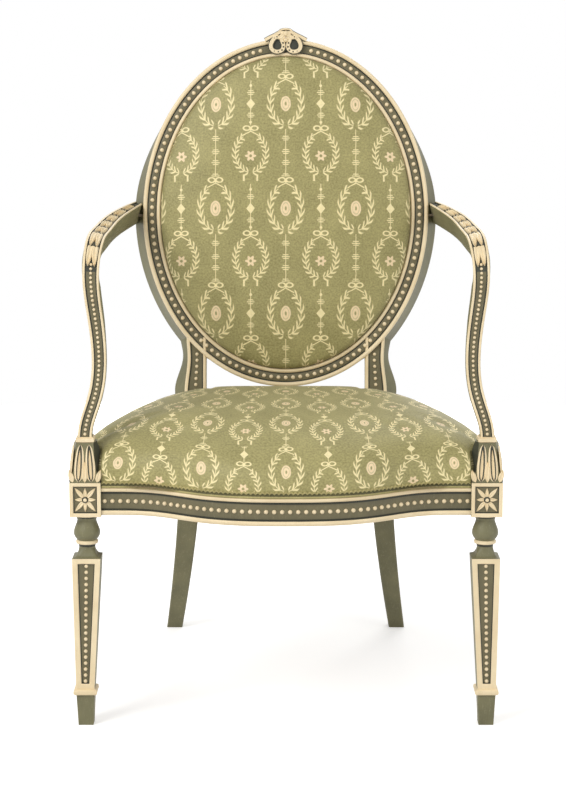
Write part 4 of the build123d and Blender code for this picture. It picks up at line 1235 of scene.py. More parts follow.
    def hanging_loop(self, side: int, turn: float, size: float, rise: float) -> Point:
        """Point of one of the bow's hanging loops, fuller below than above.

        Args:
            side: -1 for the left loop, 1 for the right one.
            turn: angle round the loop in radians.
            size: share of its full size.
            rise: height before the face.

        Returns:
            The place across, along and before the face.
        """
        across = self.loop_half_width * size * math.cos(turn) * (1 - 0.26 * math.sin(turn))
        middle_v = self.half_height - self.loop_drop
        v = middle_v + self.loop_half_height * size * math.sin(turn)
        return side * (self.loop_x + across), v, rise

    def bow_side(self, mesh: MeshBuilder, side: int) -> None:
        """Add one hanging loop of the bow with its beads and hollow painted dark as painted shade, and the
        tail beside it.

        Args:
            mesh: where they go.
            side: -1 for the left, 1 for the right.
        """
        edge = self.half_height
        turns = np.linspace(math.radians(118), math.radians(-222), 34)
        loop = [(side * 3.0, edge + 6.5, 5.0)]
        loop += [self.hanging_loop(side, turn, 1.0, 3.6 + 0.8 * math.cos(turn)) for turn in turns]
        loop += [(side * 2.6, edge + 3.5, 4.6)]
        self.ribbon(mesh, loop, 6.2)
        # Dark beads along the loop and a dark sheet inside it paint the shade of its hollows.
        for turn in turns[3:-3:3]:
            x, v, rise = self.hanging_loop(side, turn, 1.0, 3.9)
            bead(mesh, self.place(x, v, -rise), self.facing(), 1.5, Coat.DARK)
        hollow = [self.place(*self.hanging_loop(side, turn, 0.9, -0.8)) for turn in whole_turn(28)]
        mesh.plate(hollow[::side], Coat.DARK)
        tail = [(3.0, 9.0, 4.2), (10.0, 9.8, 3.6), (18.0, 5.4, 2.8), (26.0, 1.8, 2.0)]
        tail.append((self.bow_half_width, -2.6, 1.4))
        self.ribbon(mesh, [(side * x, edge + v, rise) for x, v, rise in tail], 5.2)

    def build_bow(self) -> None:
        """Make the ribbon bow on the crest."""
        mesh = MeshBuilder()
        edge = self.half_height
        for side in (-1, 1):
            self.bow_side(mesh, side)
        turns = np.linspace(-math.pi / 2, 1.5 * math.pi, 30)
        crown = [(10.0 * math.cos(turn), edge + 11.8 + 3.4 * math.sin(turn), 2.6) for turn in turns]
        self.ribbon(mesh, crown, 3.0)
        # A dark sheet inside the crown's loop paints the shade of its hollow.
        mesh.plate([self.place(x, v, -1.4) for x, v, _ in crown[:-1]], Coat.DARK)
        bead(mesh, self.place(0, edge + 7.5, -3.0), self.facing(), 5.2)
        bead(mesh, self.place(0, edge - 3.0, -3.0), self.facing(), 3.8)
        fit_painted(mesh, "crest_bow", self.palette, "cream_carving")

    def dome(self, inset: float, crown: float, front: float, rear: float, shape: float) -> MeshBuilder:
        """Domed oval cloth with its own coordinates.

        Args:
            inset: how far its edge lies inside the opening.
            crown: height of the dome, towards the front.
            front: depth of the dome's foot behind the face.
            rear: depth where the cloth ends.
            shape: fullness of the dome.

        Returns:
            The cloth's mesh.
        """
        mesh = MeshBuilder()
        half_width = self.half_width - self.face - inset
        half_height = self.half_height - self.face - inset
        turns = whole_turn(self.ring_points)
        fine = np.linspace(0, 1, 600)
        curve = np.stack([fine * half_width, crown * (1 - fine**shape) ** (1 / shape)], axis=1)
        shares = even_steps(curve, self.ring_count)
        levels = [(x / half_width, rise - front) for x, rise in shares[1:]] + [(1.0, -rear)]
        lengths = run_lengths(shares)[1:]
        lengths = np.append(lengths, lengths[-1] + rear - front)
        flip = 1 if crown > 0 else -1
        rings = []
        for reach, rise in levels:
            wide, tall = reach * half_width, reach * half_height
            ring = [self.place(wide * math.cos(turn), tall * math.sin(turn), -rise) for turn in turns]
            rings.append(ring)
        mesh.skin(rings[::-flip], [Coat.GREEN])
        for length in lengths[::-flip]:
            stretch = length / half_width
            wide, tall = stretch * half_width, stretch * half_height
            for turn in turns:
                mesh.charts[len(mesh.charts)] = wide * math.cos(turn) * MM, tall * math.sin(turn) * MM
        apex = mesh.add([self.place(0, 0, front - crown)])
        mesh.charts[apex] = (0.0, 0.0)
        innermost = len(rings) - 1 if flip > 0 else 0
        mesh.fan(innermost * len(turns), len(turns), apex, way=flip)
        if flip > 0:
            mesh.face(range(len(turns))[::-1])
        return mesh

    def build_padding(self) -> None:
        """Make the padded silk inside the oval and the plain silk behind it."""
        pad = self.dome(0.6, self.crown, 0.0, self.ledge_depth - 1.5, self.fullness)
        made = pad.build("dressed_back_pad", [self.palette.silk], sharp=80.0)
        fit_piece(made, "silk", "back_cover", "back_stuffing", "back_linen", "back_webbing")
        plump(made, range(3 * self.ring_points), self.pad_swell)
        rear = self.dome(-1.0, -self.outside_crown, self.thickness, self.thickness - 1.0, 2.0)
        outside = rear.build("dressed_outside_back", [self.palette.silk], sharp=80.0)
        fit_piece(outside, "silk", "outside_back_cover")
        wide, tall = 2 * (self.half_width - self.face) * MM, 2 * (self.half_height - self.face) * MM
        math.pi / 4 * wide * tall

    def build(self) -> None:
        """Make the whole back."""
        self.build_rails()
        self.build_pearls()
        self.build_bow()
        self.build_padding()


@dataclass
class RearLegs:
    """Raked rear legs that run up as the stiles of the back."""

    palette: Palette
    back: OvalBack
    rail_bottom: float = 320.5
    rail_top: float = 361.0
    centre_x: float = 157.0
    width: float = 38.0
    foot_width: float = 26.5
    thickness: float = 36.0
    foot_thickness: float = 27.0
    splay: float = 34.5
    sweep: float = 100.0
    front_depth: float = 433.0
    stile_inner: float = 131.0
    stile_setback: float = 3.0
    stile_thickness: float = 26.6
    swell_rise: float = 66.0
    swell_width: float = 36.0
    waist_rise: float = 122.0
    waist_width: float = 31.0
    neck_drop: float = 206.0
    cants: tuple[float, ...] = (0.0, 17.0, 8.5, 11.5)
    fillet: float = 5.5
    ground: float = 4.0
    soft: float = 2.0
    top_z: float = 516.3
    pearl_radius: float = 2.9
    pearl_pitch: float = 9.9
    pearl_lift: float = 0.3
    pearl_low: float = 419.0
    pearl_high: float = 494.0

    def face_depth(self, z: float) -> float:
        """Depth of the stile's face at a height."""
        lean = (z - self.back.centre_z) * math.tan(self.back.rake)
        return self.back.centre_depth + lean + self.stile_setback

    def shape(self, z: float) -> tuple[float, float]:
        """Outer side of the stile at a height.

        Args:
            z: the height.

        Returns:
            The outer edge of its face, and the cant of its side.
        """
        neck = self.back.half_width * math.sqrt(1 - (self.neck_drop / self.back.half_height) ** 2)
        swell, waist = self.stile_inner + self.swell_width, self.stile_inner + self.waist_width
        outers = (self.centre_x + self.width / 2, swell, waist, neck)
        low = self.rail_top
        heights = (low, low + self.swell_rise, low + self.waist_rise, self.top_z)
        return eased(list(zip(heights, outers)), z), eased(list(zip(heights, self.cants)), z)

    def section(self, z: float) -> Array:
        """Level section of a right rear leg or stile at a height.

        Args:
            z: the height.

        Returns:
            The section's points, from the inner front corner round.
        """
        if z <= self.rail_top:
            share = max(0.0, 1 - z / self.rail_bottom)
            middle = self.centre_x + self.splay * share**1.5
            half = between(self.width, self.foot_width, share) / 2
            front = self.front_depth + self.sweep * share**1.6
            inner, outer, cant = middle - half, middle + half, 0.0
            thick, sunk = between(self.thickness, self.foot_thickness, share), 0.0
        else:
            share = min(1.0, (z - self.rail_top) / self.swell_rise)
            inner = between(self.centre_x - self.width / 2, self.stile_inner, share)
            outer, cant = self.shape(z)
            front = self.face_depth(z)
            thick = between(self.thickness, self.stile_thickness, share)
            sunk = self.ground * share
        edge, soft, rear, ground = self.fillet, self.soft, front + thick, front + sunk
        plan = [
            (inner, front + soft), (inner + soft, front), (inner + edge - 0.8, front),
            (inner + edge, front + sunk * 0.3), (inner + edge + 0.2, ground), (inner + edge + 1.8, ground),
            (outer - edge - 1.8, ground), (outer - edge - 0.2, ground), (outer - edge, front + sunk * 0.3),
            (outer - edge + 0.8, front), (outer - soft, front), (outer, front + soft),
            (outer + cant, rear - soft), (outer + cant - soft, rear), (inner + soft, rear),
            (inner, rear - soft),
        ]
        return np.array([row(x, depth, z) for x, depth in plan])

    def right(self) -> MeshBuilder:
        """Mesh of the right rear leg.

        Returns:
            The leg and its stile.
        """
        mesh = MeshBuilder()
        low = [self.section(z) for z in np.linspace(0, self.rail_top, 30)]
        high = [self.section(z) for z in np.linspace(self.rail_top, self.top_z, 36)]
        # The stile's face: cream fillets, dark painted shade in the steps and a lighter painted shade on the
        # sunk ground.
        face = strips((Coat.CREAM, 3), (Coat.DARK, 2), (Coat.MOSS, 1), (Coat.DARK, 2), (Coat.CREAM, 3))
        mesh.skin(low, [Coat.GREEN])
        mesh.skin(high, face + [Coat.GREEN] * 5)
        mesh.plate(low[0], turned=True)
        mesh.plate(high[-1])
        return mesh

    def build(self) -> None:
        """Make both rear legs and the pearls of their stiles."""
        fit_pair(self.right(), "rear_leg", self.palette, "painted_wood")
        mesh = MeshBuilder()
        for z in np.arange(self.pearl_low, self.pearl_high, self.pearl_pitch):
            x = (self.stile_inner + self.shape(z)[0]) / 2
            foot = row(x, self.face_depth(z) + self.ground - self.pearl_lift, z)
            bead(mesh, foot, self.back.facing(), self.pearl_radius)
        fit_pair(mesh, "stile_pearls", self.palette, "cream_carving")


@dataclass
class SeatFrame:
    """Moulded seat rails with their pearls, and the bare pieces inside them."""

    palette: Palette
    inner_x: float = 268.75
    outer_x: float = 311.25
    rear_x: float = 173.0
    block: float = 45.5
    depth: float = 433.0
    bow: float = 72.0
    setback: float = 3.0
    side_bow: float = 12.0
    bottom: float = 320.5
    top: float = 361.0
    thickness: float = 26.0
    ground: float = 4.0
    pearl_radius: float = 3.2
    pearl_pitch: float = 11.3
    pearl_lift: float = 0.3
    pearl_margin: float = 5.0
    pearl_drop: float = 0.5
    lower_fillet: float = 7.5
    upper_fillet: float = 6.0

    def __post_init__(self) -> None:
        """Work out the serpentine front and the sides' arc."""
        shares = np.array([0.0, 0.46, 0.725, 1.0])
        bows = np.array([[1.0], [0.67], [0.1], [0.0]])
        self.serpentine = clamped_spline(shares, bows, np.zeros(1), np.zeros(1))
        run = np.array([self.outer_x - self.rear_x, self.depth - self.block])
        chord = np.linalg.norm(run)
        self.radius = (chord**2 / 4 + self.side_bow**2) / (2 * self.side_bow)
        out = np.array([run[1], run[0]]) / chord
        self.centre_x = (self.outer_x + self.rear_x) / 2 - out[0] * (self.radius - self.side_bow)
        self.centre_depth = (self.block + self.depth) / 2 - out[1] * (self.radius - self.side_bow)

    def front_depth(self, x: float) -> float:
        """Depth of the front rail's face at a place across."""
        share = min(1.0, abs(x) / self.inner_x)
        return self.setback - self.bow * float(self.serpentine(np.array([share]))[0, 0])

    def side_x(self, depth: float, shift: float = 0.0) -> float:
        """Place across of the right side rail's face at a depth, moved in by a shift."""
        return self.centre_x + math.sqrt((self.radius - shift) ** 2 - (depth - self.centre_depth) ** 2)

    def profile(self) -> list[tuple[float, float]]:
        """Moulded section of a rail.

        Returns:
            Pairs of a distance behind the face and a height, from the top rear round.
        """
        low, high, sunk = self.bottom, self.top, self.ground
        return [
            (self.thickness, high), (2.0, high), (0.5, high - 0.7), (0.0, high - 2.6), (0.4, high - 4.6),
            (1.6, high - 5.9), (sunk + 1.2, high - 6.4), (sunk + 0.9, high - 9.6), (sunk, high - 12.5),
            (sunk - 0.2, low + 12.5), (sunk + 0.6, low + 9.4), (sunk + 0.6, low + 7.6), (1.4, low + 7.0),
            (0.4, low + 6.0), (0.0, low + 3.8), (0.6, low + 1.4), (2.2, low), (self.thickness, low),
        ]

    def build_rails(self) -> None:
        """Make the front and side rails."""
        profile = self.profile()
        # Dark strips are painted shade in the undercuts beside the sunk ground, which carries a lighter
        # painted shade.
        upper = strips((Coat.GREEN, 1), (Coat.CREAM, 4), (Coat.DARK, 2), (Coat.MOSS, 3))
        coats = upper + strips((Coat.DARK, 2), (Coat.CREAM, 4), (Coat.GREEN, 2))
        front = MeshBuilder()
        rings = []
        for x in np.linspace(-self.inner_x, self.inner_x, 150):
            rings.append([row(x, self.front_depth(x) + behind, z) for behind, z in profile])
        front.skin(rings, coats, caps=Coat.GREEN)
        fit_painted(front, "front_seat_rail", self.palette, "painted_wood", sharp=45.0)
        side = MeshBuilder()
        slant = (self.outer_x - self.rear_x) / (self.depth - self.block)
        across = self.thickness * math.sqrt(1 + slant**2)
        rings = []
        for depth in np.linspace(self.block, self.depth, 60):
            chord = self.outer_x - slant * (depth - self.block) - across
            ring = []
            for behind, z in profile:
                x = chord if behind == self.thickness else self.side_x(depth, behind)
                ring.append(row(x, depth, z))
            rings.append(ring)
        side.skin(rings, coats, caps=Coat.GREEN)
        fit_pair(side, "side_seat_rail", self.palette, "painted_wood")

    def pearl_run(self, path: Sequence[tuple[float, float]]) -> MeshBuilder:
        """Pearls along a rail.

        Args:
            path: places across and depths of the rail's sunk ground, finely divided.

        Returns:
            The pearls' mesh.
        """
        mesh = MeshBuilder()
        z = (self.bottom + self.lower_fillet + self.top - self.upper_fillet) / 2 - self.pearl_drop
        fine = np.array(path)
        count = round(run_lengths(fine)[-1] / self.pearl_pitch)
        places = even_steps(fine, count + 1)
        for (x, depth), side in zip(places, outward(places)):
            bead(mesh, row(x, depth, z), np.array([*side, 0.0]), self.pearl_radius)
        return mesh

    def build_pearls(self) -> None:
        """Make the pearls of the front and side rails."""
        margin, lift = self.pearl_margin, self.pearl_lift
        places = np.linspace(-self.inner_x + margin, self.inner_x - margin, 900)
        front = self.pearl_run([(x, self.front_depth(x) + self.ground - lift) for x in places])
        fit_painted(front, "front_rail_pearls", self.palette, "cream_carving")
        depths = np.linspace(self.block + margin, self.depth - margin, 500)
        side = self.pearl_run([(self.side_x(depth, self.ground - lift), depth) for depth in depths])
        fit_pair(side, "side_rail_pearls", self.palette, "cream_carving")

    def dress_bare(self) -> None:
        """Give the CAD pieces that stay their materials."""
        blocks = [f"corner_block_{end}_{side}" for end in ("front", "rear") for side in ("left", "right")]
        plain = {
            self.palette.beech: blocks + ["back_frame_dowels", "arm_dowels"],
            self.palette.steel: ["corner_block_screws", "arm_screws"],
            self.palette.green: ["back_seat_rail"],
        }
        for material, nodes in plain.items():
            for node in nodes:
                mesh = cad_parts[node].data
                mesh.materials.clear()
                mesh.materials.append(material)
                log.info("%s: kept from the solids", node)

    def build(self) -> None:
        """Make the seat frame."""
        self.build_rails()
        self.build_pearls()
        self.dress_bare()


@dataclass
class FrontLegs:
    """Front legs: carved block, turned neck, panelled shaft, collar and spade foot."""

    palette: Palette
    x: float = 291.5
    depth: float = 22.75
    foot_x: float = 296.5
    block: float = 45.5
    block_bottom: float = 318.5
    block_top: float = 369.0
    border: float = 5.5
    neck_radius: float = 12.0
    neck_z: float = 269.5
    shaft_top: float = 41.5
    shaft_bottom: float = 27.0
    shaft_top_z: float = 255.5
    shaft_bottom_z: float = 56.0
    collar: float = 35.0
    collar_height: float = 9.0
    spade_top: float = 26.5
    spade_bottom: float = 22.0
    panel_border: float = 8.0
    panel_sunk: float = 3.0
    pearl_radius: float = 2.8
    pearl_count: int = 20
    pearl_lift: float = 0.2
    rosette_margin: float = 1.2

    def block_ends(self) -> tuple[Array, Array]:
        """Corners of the block's top and of its bottom."""
        top, bottom = (square(self.x, self.depth, z, self.block) for z in (self.block_top, self.block_bottom))
        return top, bottom

    def shaft_ends(self) -> tuple[Array, Array]:
        """Corners of the shaft's top and of its bottom."""
        top = square(self.x, self.depth, self.shaft_top_z, self.shaft_top)
        return top, square(self.foot_x, self.depth, self.shaft_bottom_z, self.shaft_bottom)

    def post(self, mesh: MeshBuilder, top: Array, bottom: Array, border: float = 0.0) -> None:
        """Add a square post, plain or with panels sunk in its front and its outer side.

        Args:
            mesh: where it goes.
            top: corners at the top.
            bottom: corners at the bottom.
            border: width of the panels' borders, or nought for a plain post.
        """
        sides = box_sides(top, bottom)
        panels = sides[:2] if border else []
        for quad in sides[len(panels):]:
            mesh.plate(quad)
        mesh.plate(top)
        mesh.plate(bottom, turned=True)
        for quad in panels:
            framed_side(mesh, quad, border, self.panel_sunk)

    def neck(self, mesh: MeshBuilder) -> None:
        """Add the turned neck and the cove that spreads to the square shaft.

        Args:
            mesh: where they go.
        """
        # Dark strips paint the shade in the cove under the block and in the groove under the cream ring.
        profile = [(17.4, self.block_bottom, Coat.CREAM), (17.2, 316.4, Coat.DARK), (15.2, 314.0, Coat.GREEN)]
        for share in np.linspace(0, 1, 14):
            radius = 13.9 + 4.8 * math.sin(math.pi * share**1.6) ** 0.9 + 1.0 * share
            profile.append((radius, between(310.5, 281.5, share), Coat.GREEN))
        profile += [
            (14.4, 280.4, Coat.CREAM), (16.0, 279.2, Coat.CREAM), (16.4, 277.4, Coat.CREAM),
            (15.8, 275.4, Coat.DARK), (12.6, 274.4, Coat.DARK), (self.neck_radius, 271.0, Coat.GREEN),
            (self.neck_radius, self.neck_z, Coat.GREEN),
        ]
        lathe(mesh, self.x, self.depth, profile)
        rings = []
        for share in np.linspace(0, 1, 9):
            spread = 1 - math.sqrt(max(0.0, 1 - share * share))
            radius = self.neck_radius + (self.shaft_top / 2 - self.neck_radius) * spread
            power = 2 + 22 * share**2
            z = between(self.neck_z, self.shaft_top_z, share)
            ring = []
            for turn in whole_turn(48):
                c, s = math.cos(turn), math.sin(turn)
                reach = radius / (abs(c) ** power + abs(s) ** power) ** (1 / power)
                ring.append(row(self.x + reach * c, self.depth + reach * s, z))
            rings.append(ring)
        mesh.skin(rings[::-1], [Coat.GREEN])

    def right(self) -> MeshBuilder:
        """Mesh of the right front leg.

        Returns:
            The leg without its pearls and rosettes.
        """
        mesh = MeshBuilder()
        self.post(mesh, *self.block_ends(), self.border)
        self.neck(mesh)
        self.post(mesh, *self.shaft_ends(), self.panel_border)
        collar_z = self.shaft_bottom_z - self.collar_height
        rings = []
        for rise, wide in ((0.0, 0.86), (0.12, 0.96), (0.4, 1.0), (0.8, 0.98), (0.93, 0.9), (1.0, 0.8)):
            z = collar_z + rise * self.collar_height
            rings.append(square(self.foot_x, self.depth, z, self.collar * wide))
        mesh.skin(rings, [Coat.CREAM], caps=Coat.CREAM)
        top = square(self.foot_x, self.depth, collar_z, self.spade_top)
        bottom = square(self.foot_x, self.depth, 0.0, self.spade_bottom)
        self.post(mesh, top, bottom)
        return mesh

    def pearls(self) -> MeshBuilder:
        """Pearls down the front and outer panels of the right leg.

        Returns:
            The pearls' mesh.
        """
        mesh = MeshBuilder()
        for quad in box_sides(*self.shaft_ends())[:2]:
            facing = unit(np.cross(quad[1] - quad[0], quad[3] - quad[0]))
            low, high = (quad[0] + quad[1]) / 2, (quad[2] + quad[3]) / 2
            run = np.linalg.norm(high - low)
            inset = (self.panel_border + self.pearl_radius + 0.8) / run
            for share in np.linspace(inset, 1 - inset, self.pearl_count):
                foot = low + (high - low) * share - facing * (self.panel_sunk - self.pearl_lift)
                bead(mesh, foot, facing, self.pearl_radius)
        return mesh

    def rosettes(self) -> MeshBuilder:
        """Eight-leaved rosettes on the right leg's block.

        Returns:
            The rosettes' mesh.
        """
        mesh = MeshBuilder()
        reach_x = self.block / 2 - self.border - self.rosette_margin
        reach_z = (self.block_top - self.block_bottom) / 2 - self.border - self.rosette_margin
        for quad in box_sides(*self.block_ends())[:2]:
            across = unit(quad[1] - quad[0])
            facing = unit(np.cross(quad[1] - quad[0], quad[3] - quad[0]))
            centre = quad.mean(axis=0) - facing * self.panel_sunk
            for step in range(8):
                turn = step * math.pi / 4
                corner = math.sqrt(2) * 0.92 if step % 2 else 0.94
                rise = np.array([0, 0, reach_z * math.sin(turn) * corner])
                way = across * reach_x * math.cos(turn) * corner + rise
                length, wide = np.linalg.norm(way) - 2.5, 6.2 if step % 2 else 5.2
                leaf(mesh, centre + unit(way) * 2.5, way, facing, length, LeafCut(wide, 2.3, 0.3))
            # A dark bead under the middle one paints a ring of shade round it.
            bead(mesh, centre - facing * 1.0, facing, 5.4, Coat.DARK)
            bead(mesh, centre + facing * 1.8, facing, 3.3)
        return mesh

    def build(self) -> None:
        """Make both front legs with their carving."""
        fit_pair(self.right(), "front_leg", self.palette, "painted_wood", 0.7)
        fit_pair(self.pearls(), "leg_pearls", self.palette, "cream_carving")
        fit_pair(self.rosettes(), "leg_rosettes", self.palette, "cream_carving")


@dataclass
class Arms:
    """Swept open arms on leafy bases."""

    palette: Palette
    leg_x: float = 291.5
    block_top: float = 369.0
    base_top: float = 426.5
    foot_z: float = 434.5
    height: float = 735.0
    oval_edge: float = 235.5
    oval_depth: float = 489.99
    support_width: float = 20.4
    knuckle_width: float = 26.0
    end_width: float = 14.0
    support_thickness: float = 27.0
    thickness: float = 36.0
    fillet: float = 4.0
    sunk: float = 2.5
    lean: float = math.radians(14.0)
    waist: float = 20.0
    knuckle_in: float = 11.7
    knuckle: float = 0.4
    joint: float = 0.33
    tail: float = 0.99
    pearl_radius: float = 2.3
    pearl_pitch: float = 7.0
    pearl_lift: float = 0.2
    pearl_share: float = 0.36
    pearl_span: tuple[float, float] = (0.006, 0.345)
    leaf_lift: float = 0.6
    leaf_count: int = 7
    leaf_start: float = 0.352
    leaf_span: float = 0.57
    leaf_growth: float = 1.25
    steps: int = 150

    def __post_init__(self) -> None:
        """Work out the arm's line and the frames along it."""
        rise = self.height - self.foot_z
        shape = [
            (0.0, 11.0, 0.0), (0.7 * self.waist, 26.0, 0.19), (self.waist, 36.0, 0.34),
            (0.72 * self.waist, 43.0, 0.57), (0.8 * self.knuckle_in, 40.0, 0.745),
            (self.knuckle_in, 72.0, 0.907), (1.4 * self.knuckle_in, 0.29 * self.oval_depth, 0.96),
            (23.5, 0.58 * self.oval_depth, 0.983),
        ]
        points = [row(self.leg_x - inset, depth, self.foot_z + share * rise) for inset, depth, share in shape]
        points.append(row(self.oval_edge + self.end_width, 0.91 * self.oval_depth, self.height))
        points.append(row(self.oval_edge + self.end_width / 2, self.oval_depth + 30.0, self.height))
        rows = np.array(points)
        knots = run_lengths(rows)
        curve = clamped_spline(knots, rows, np.array([0.0, 0.0, 1.0]), unit(np.array([-0.1, 1.0, 0.0])))
        self.line = even_steps(curve(np.linspace(0, knots[-1], 3000)), self.steps)
        self.length = float(run_lengths(self.line)[-1])
        self.along = np.array([unit(way) for way in np.gradient(self.line, axis=0)])

    def frame_at(self, share: float) -> tuple[Array, Array, Array]:
        """Point of the arm's face, the way along it and the way that it looks.

        Args:
            share: share of the arm's length.

        Returns:
            The point, the way along and the facing.
        """
        place = share * (self.steps - 1)
        low = min(int(place), self.steps - 2)
        part = place - low
        point = self.line[low] * (1 - part) + self.line[low + 1] * part
        along = unit(self.along[low] * (1 - part) + self.along[low + 1] * part)
        facing = unit(np.cross([1.0, 0.0, 0.0], along))
        turn = self.lean * max(0.0, along[1])
        return point, along, facing * math.cos(turn) + np.cross(facing, along) * math.sin(turn)

    def width(self, share: float) -> float:
        """Width of the arm's face.

        Args:
            share: share of the arm's length.

        Returns:
            The width.
        """
        if share < self.knuckle:
            return between(self.support_width, self.knuckle_width, (share / self.knuckle) ** 2)
        past = (share - self.knuckle) / (1 - self.knuckle)
        return between(self.knuckle_width, self.end_width, past**2)

    def section(self, share: float) -> Array:
        """Channelled section of the arm.

        Args:
            share: share of the arm's length.

        Returns:
            The section's points, across the face and round the rear.
        """
        point, along, facing = self.frame_at(share)
        side = np.cross(facing, along)
        half = self.width(share) / 2
        thick = between(self.support_thickness, self.thickness, min(1.0, share / self.knuckle))
        edge = min(8.0, 0.75 * half)
        ground = half - self.fillet
        rear = [(half, edge - thick), (half - 0.3 * edge, 0.3 * edge - thick), (half - edge, -thick)]
        face = [
            (ground - 1.2, -self.sunk), (ground, -self.sunk), (ground + 0.6, -0.5), (half - 2.0, 0.0),
            (half - 0.8, -0.3), (half, -1.4),
        ]
        outline = [(-across, up) for across, up in face[::-1]] + face + rear
        outline += [(-across, up) for across, up in rear[::-1]]
        return np.array([point + side * across + facing * up for across, up in outline])

    def sweep(self, start: float, end: float, ground: Coat) -> MeshBuilder:
        """Part of the arm between two shares of its length.

        Args:
            start: first share.
            end: last share.
            ground: coat of the channel's ground, which paints its shade.

        Returns:
            The part's mesh.
        """
        mesh = MeshBuilder()
        count = max(8, int((end - start) * self.steps))
        # Dark strips paint the shade in the channel's steps, and the ground's coat is painted shade too.
        channel = strips((Coat.CREAM, 3), (Coat.DARK, 2), (ground, 1), (Coat.DARK, 2), (Coat.CREAM, 3))
        rings = [self.section(share)[::-1] for share in np.linspace(start, end, count)]
        mesh.skin(rings, [Coat.GREEN] * 6 + channel + [Coat.GREEN], caps=Coat.GREEN)
        return mesh

    def base(self, mesh: MeshBuilder) -> None:
        """Add the waisted base on the leg block and the collar above it.

        Args:
            mesh: where it goes.
        """
        rings = []
        for share in np.linspace(0, 1, 14):
            z = between(self.block_top, self.base_top, share)
            face = eased(((0.0, 44.5), (0.35, 32.0), (0.7, 27.0), (1.0, 25.0)), share)
            rear = eased(((0.0, 44.5), (0.4, 45.0), (0.7, 42.0), (1.0, 33.0)), share)
            setback = eased(((0.0, 0.6), (0.5, 5.0), (1.0, 10.0)), share)
            thick = eased(((0.0, 44.5), (0.6, 38.0), (1.0, 30.0)), share)
            plan = [
                (-1, face, setback), (1, face, setback), (1, rear, setback + thick * 0.55),
                (1, rear * 0.9, setback + thick), (-1, rear * 0.9, setback + thick),
                (-1, rear, setback + thick * 0.55),
            ]
            ring = [row(self.leg_x + side * wide / 2, depth, z) for side, wide, depth in plan]
            rings.append(ring)
        # The inner side and its rear corner are painted dark as painted shade.
        mesh.skin(rings, strips((Coat.GREEN, 4), (Coat.DARK, 2)), caps=Coat.GREEN)
        corners = ((-1, -1), (1, -1), (1, 1), (-1, 1))
        for low, high, side in ((-0.5, 1.2, 22.5), (1.2, 6.4, 26.5), (6.4, 8.0, 23.0)):
            rings = []
            for z in (self.base_top + low, self.base_top + high):
                ring = [row(self.leg_x + a * side / 2, 23.8 + b * side / 2 * 1.12, z) for a, b in corners]
                rings.append(ring)
            mesh.skin(rings, [Coat.CREAM], caps=Coat.CREAM)

    def base_leaves(self, mesh: MeshBuilder) -> None:
        """Add the leaves carved on the front and outer faces of the base.

        Args:
            mesh: where they go.
        """
        facing = unit(np.array([0.0, -1.0, 0.17]))
        foot_z = self.block_top + 1
        for side in (-1, 1):
            foot = row(self.leg_x + side * 9.4, 0.9, foot_z)
            way = np.array([-side * 0.06, 0.17, 1.0])
            # The big leaf's dark hollow is painted shade.
            leaf(mesh, foot, way, facing, 55.0, LeafCut(14.5, 3.2, 0.4, 0.42, Coat.DARK))
            leaf(mesh, foot + np.array([0.0, -1.0, 3.0]), way, facing, 44.0, LeafCut(4.6, 2.6, 0.4, 0.6))
            way = np.array([side * 0.3, 0.1, 1.0])
            leaf(mesh, foot + np.array([side * 8.0, -0.4, 0.0]), way, facing, 19.0, LeafCut(8.0, 2.6, 1.0))
        way = np.array([0.0, 0.17, 1.0])
        leaf(mesh, row(self.leg_x, 0.0, foot_z), way, facing, 30.0, LeafCut(8.0, 3.4, 0.6))
        facing = unit(np.array([1.0, -0.1, 0.25]))
        way = np.array([-0.1, 0.0, 1.0])
        for depth, length, wide in ((13.0, 52.0, 15.0), (28.0, 54.0, 16.0), (39.0, 44.0, 10.0)):
            foot = row(self.leg_x + 21.8, depth, foot_z)
            leaf(mesh, foot, way, facing, length, LeafCut(wide, 3.0, 0.4, 0.5, Coat.GREEN))

    def leaves(self, mesh: MeshBuilder) -> None:
        """Add the overlapping leaves carved on the arm's top, from the knuckle to the oval.

        Args:
            mesh: where they go.
        """
        shares = np.linspace(0, 1, self.leaf_count + 1)
        places = self.leaf_start + self.leaf_span * shares**self.leaf_growth
        for tip, foot in zip(places, places[1:]):
            start, end = foot + 0.12 * (foot - tip), tip - 0.22 * (foot - tip)
            channel = self.width(foot) - 2 * self.fillet
            for turn in (-1, 1):
                frames = []
                for step in np.linspace(0, 1, 11):
                    point, along, facing = self.frame_at(between(start, end, step))
                    side = np.cross(-along, facing)
                    drift = channel * between(0.14, 0.27, step)
                    middle = point - facing * (self.sunk - self.leaf_lift) + side * turn * drift
                    frames.append((middle, side, facing))
                leaf_on(mesh, frames, LeafCut(channel * 0.54, 2.6, 3.4, 0.5, shaded=3))

    def build(self) -> None:
        """Make arms, supports and their pearls."""
        support = self.sweep(0.0, self.joint, Coat.MOSS)
        self.base(support)
        self.base_leaves(support)
        fit_pair(support, "arm_support", self.palette, "painted_wood")
        # Under the leaves the channel's ground is painted dark as painted shade.
        arm = self.sweep(self.joint, self.tail, Coat.DARK)
        self.leaves(arm)
        fit_pair(arm, "arm", self.palette, "painted_wood")
        mesh = MeshBuilder()
        count = int(self.pearl_share * self.length / self.pearl_pitch)
        for share in np.linspace(*self.pearl_span, count):
            point, _, facing = self.frame_at(share)
            bead(mesh, point - facing * (self.sunk - self.pearl_lift), facing, self.pearl_radius)
        fit_pair(mesh, "arm_pearls", self.palette, "cream_carving")


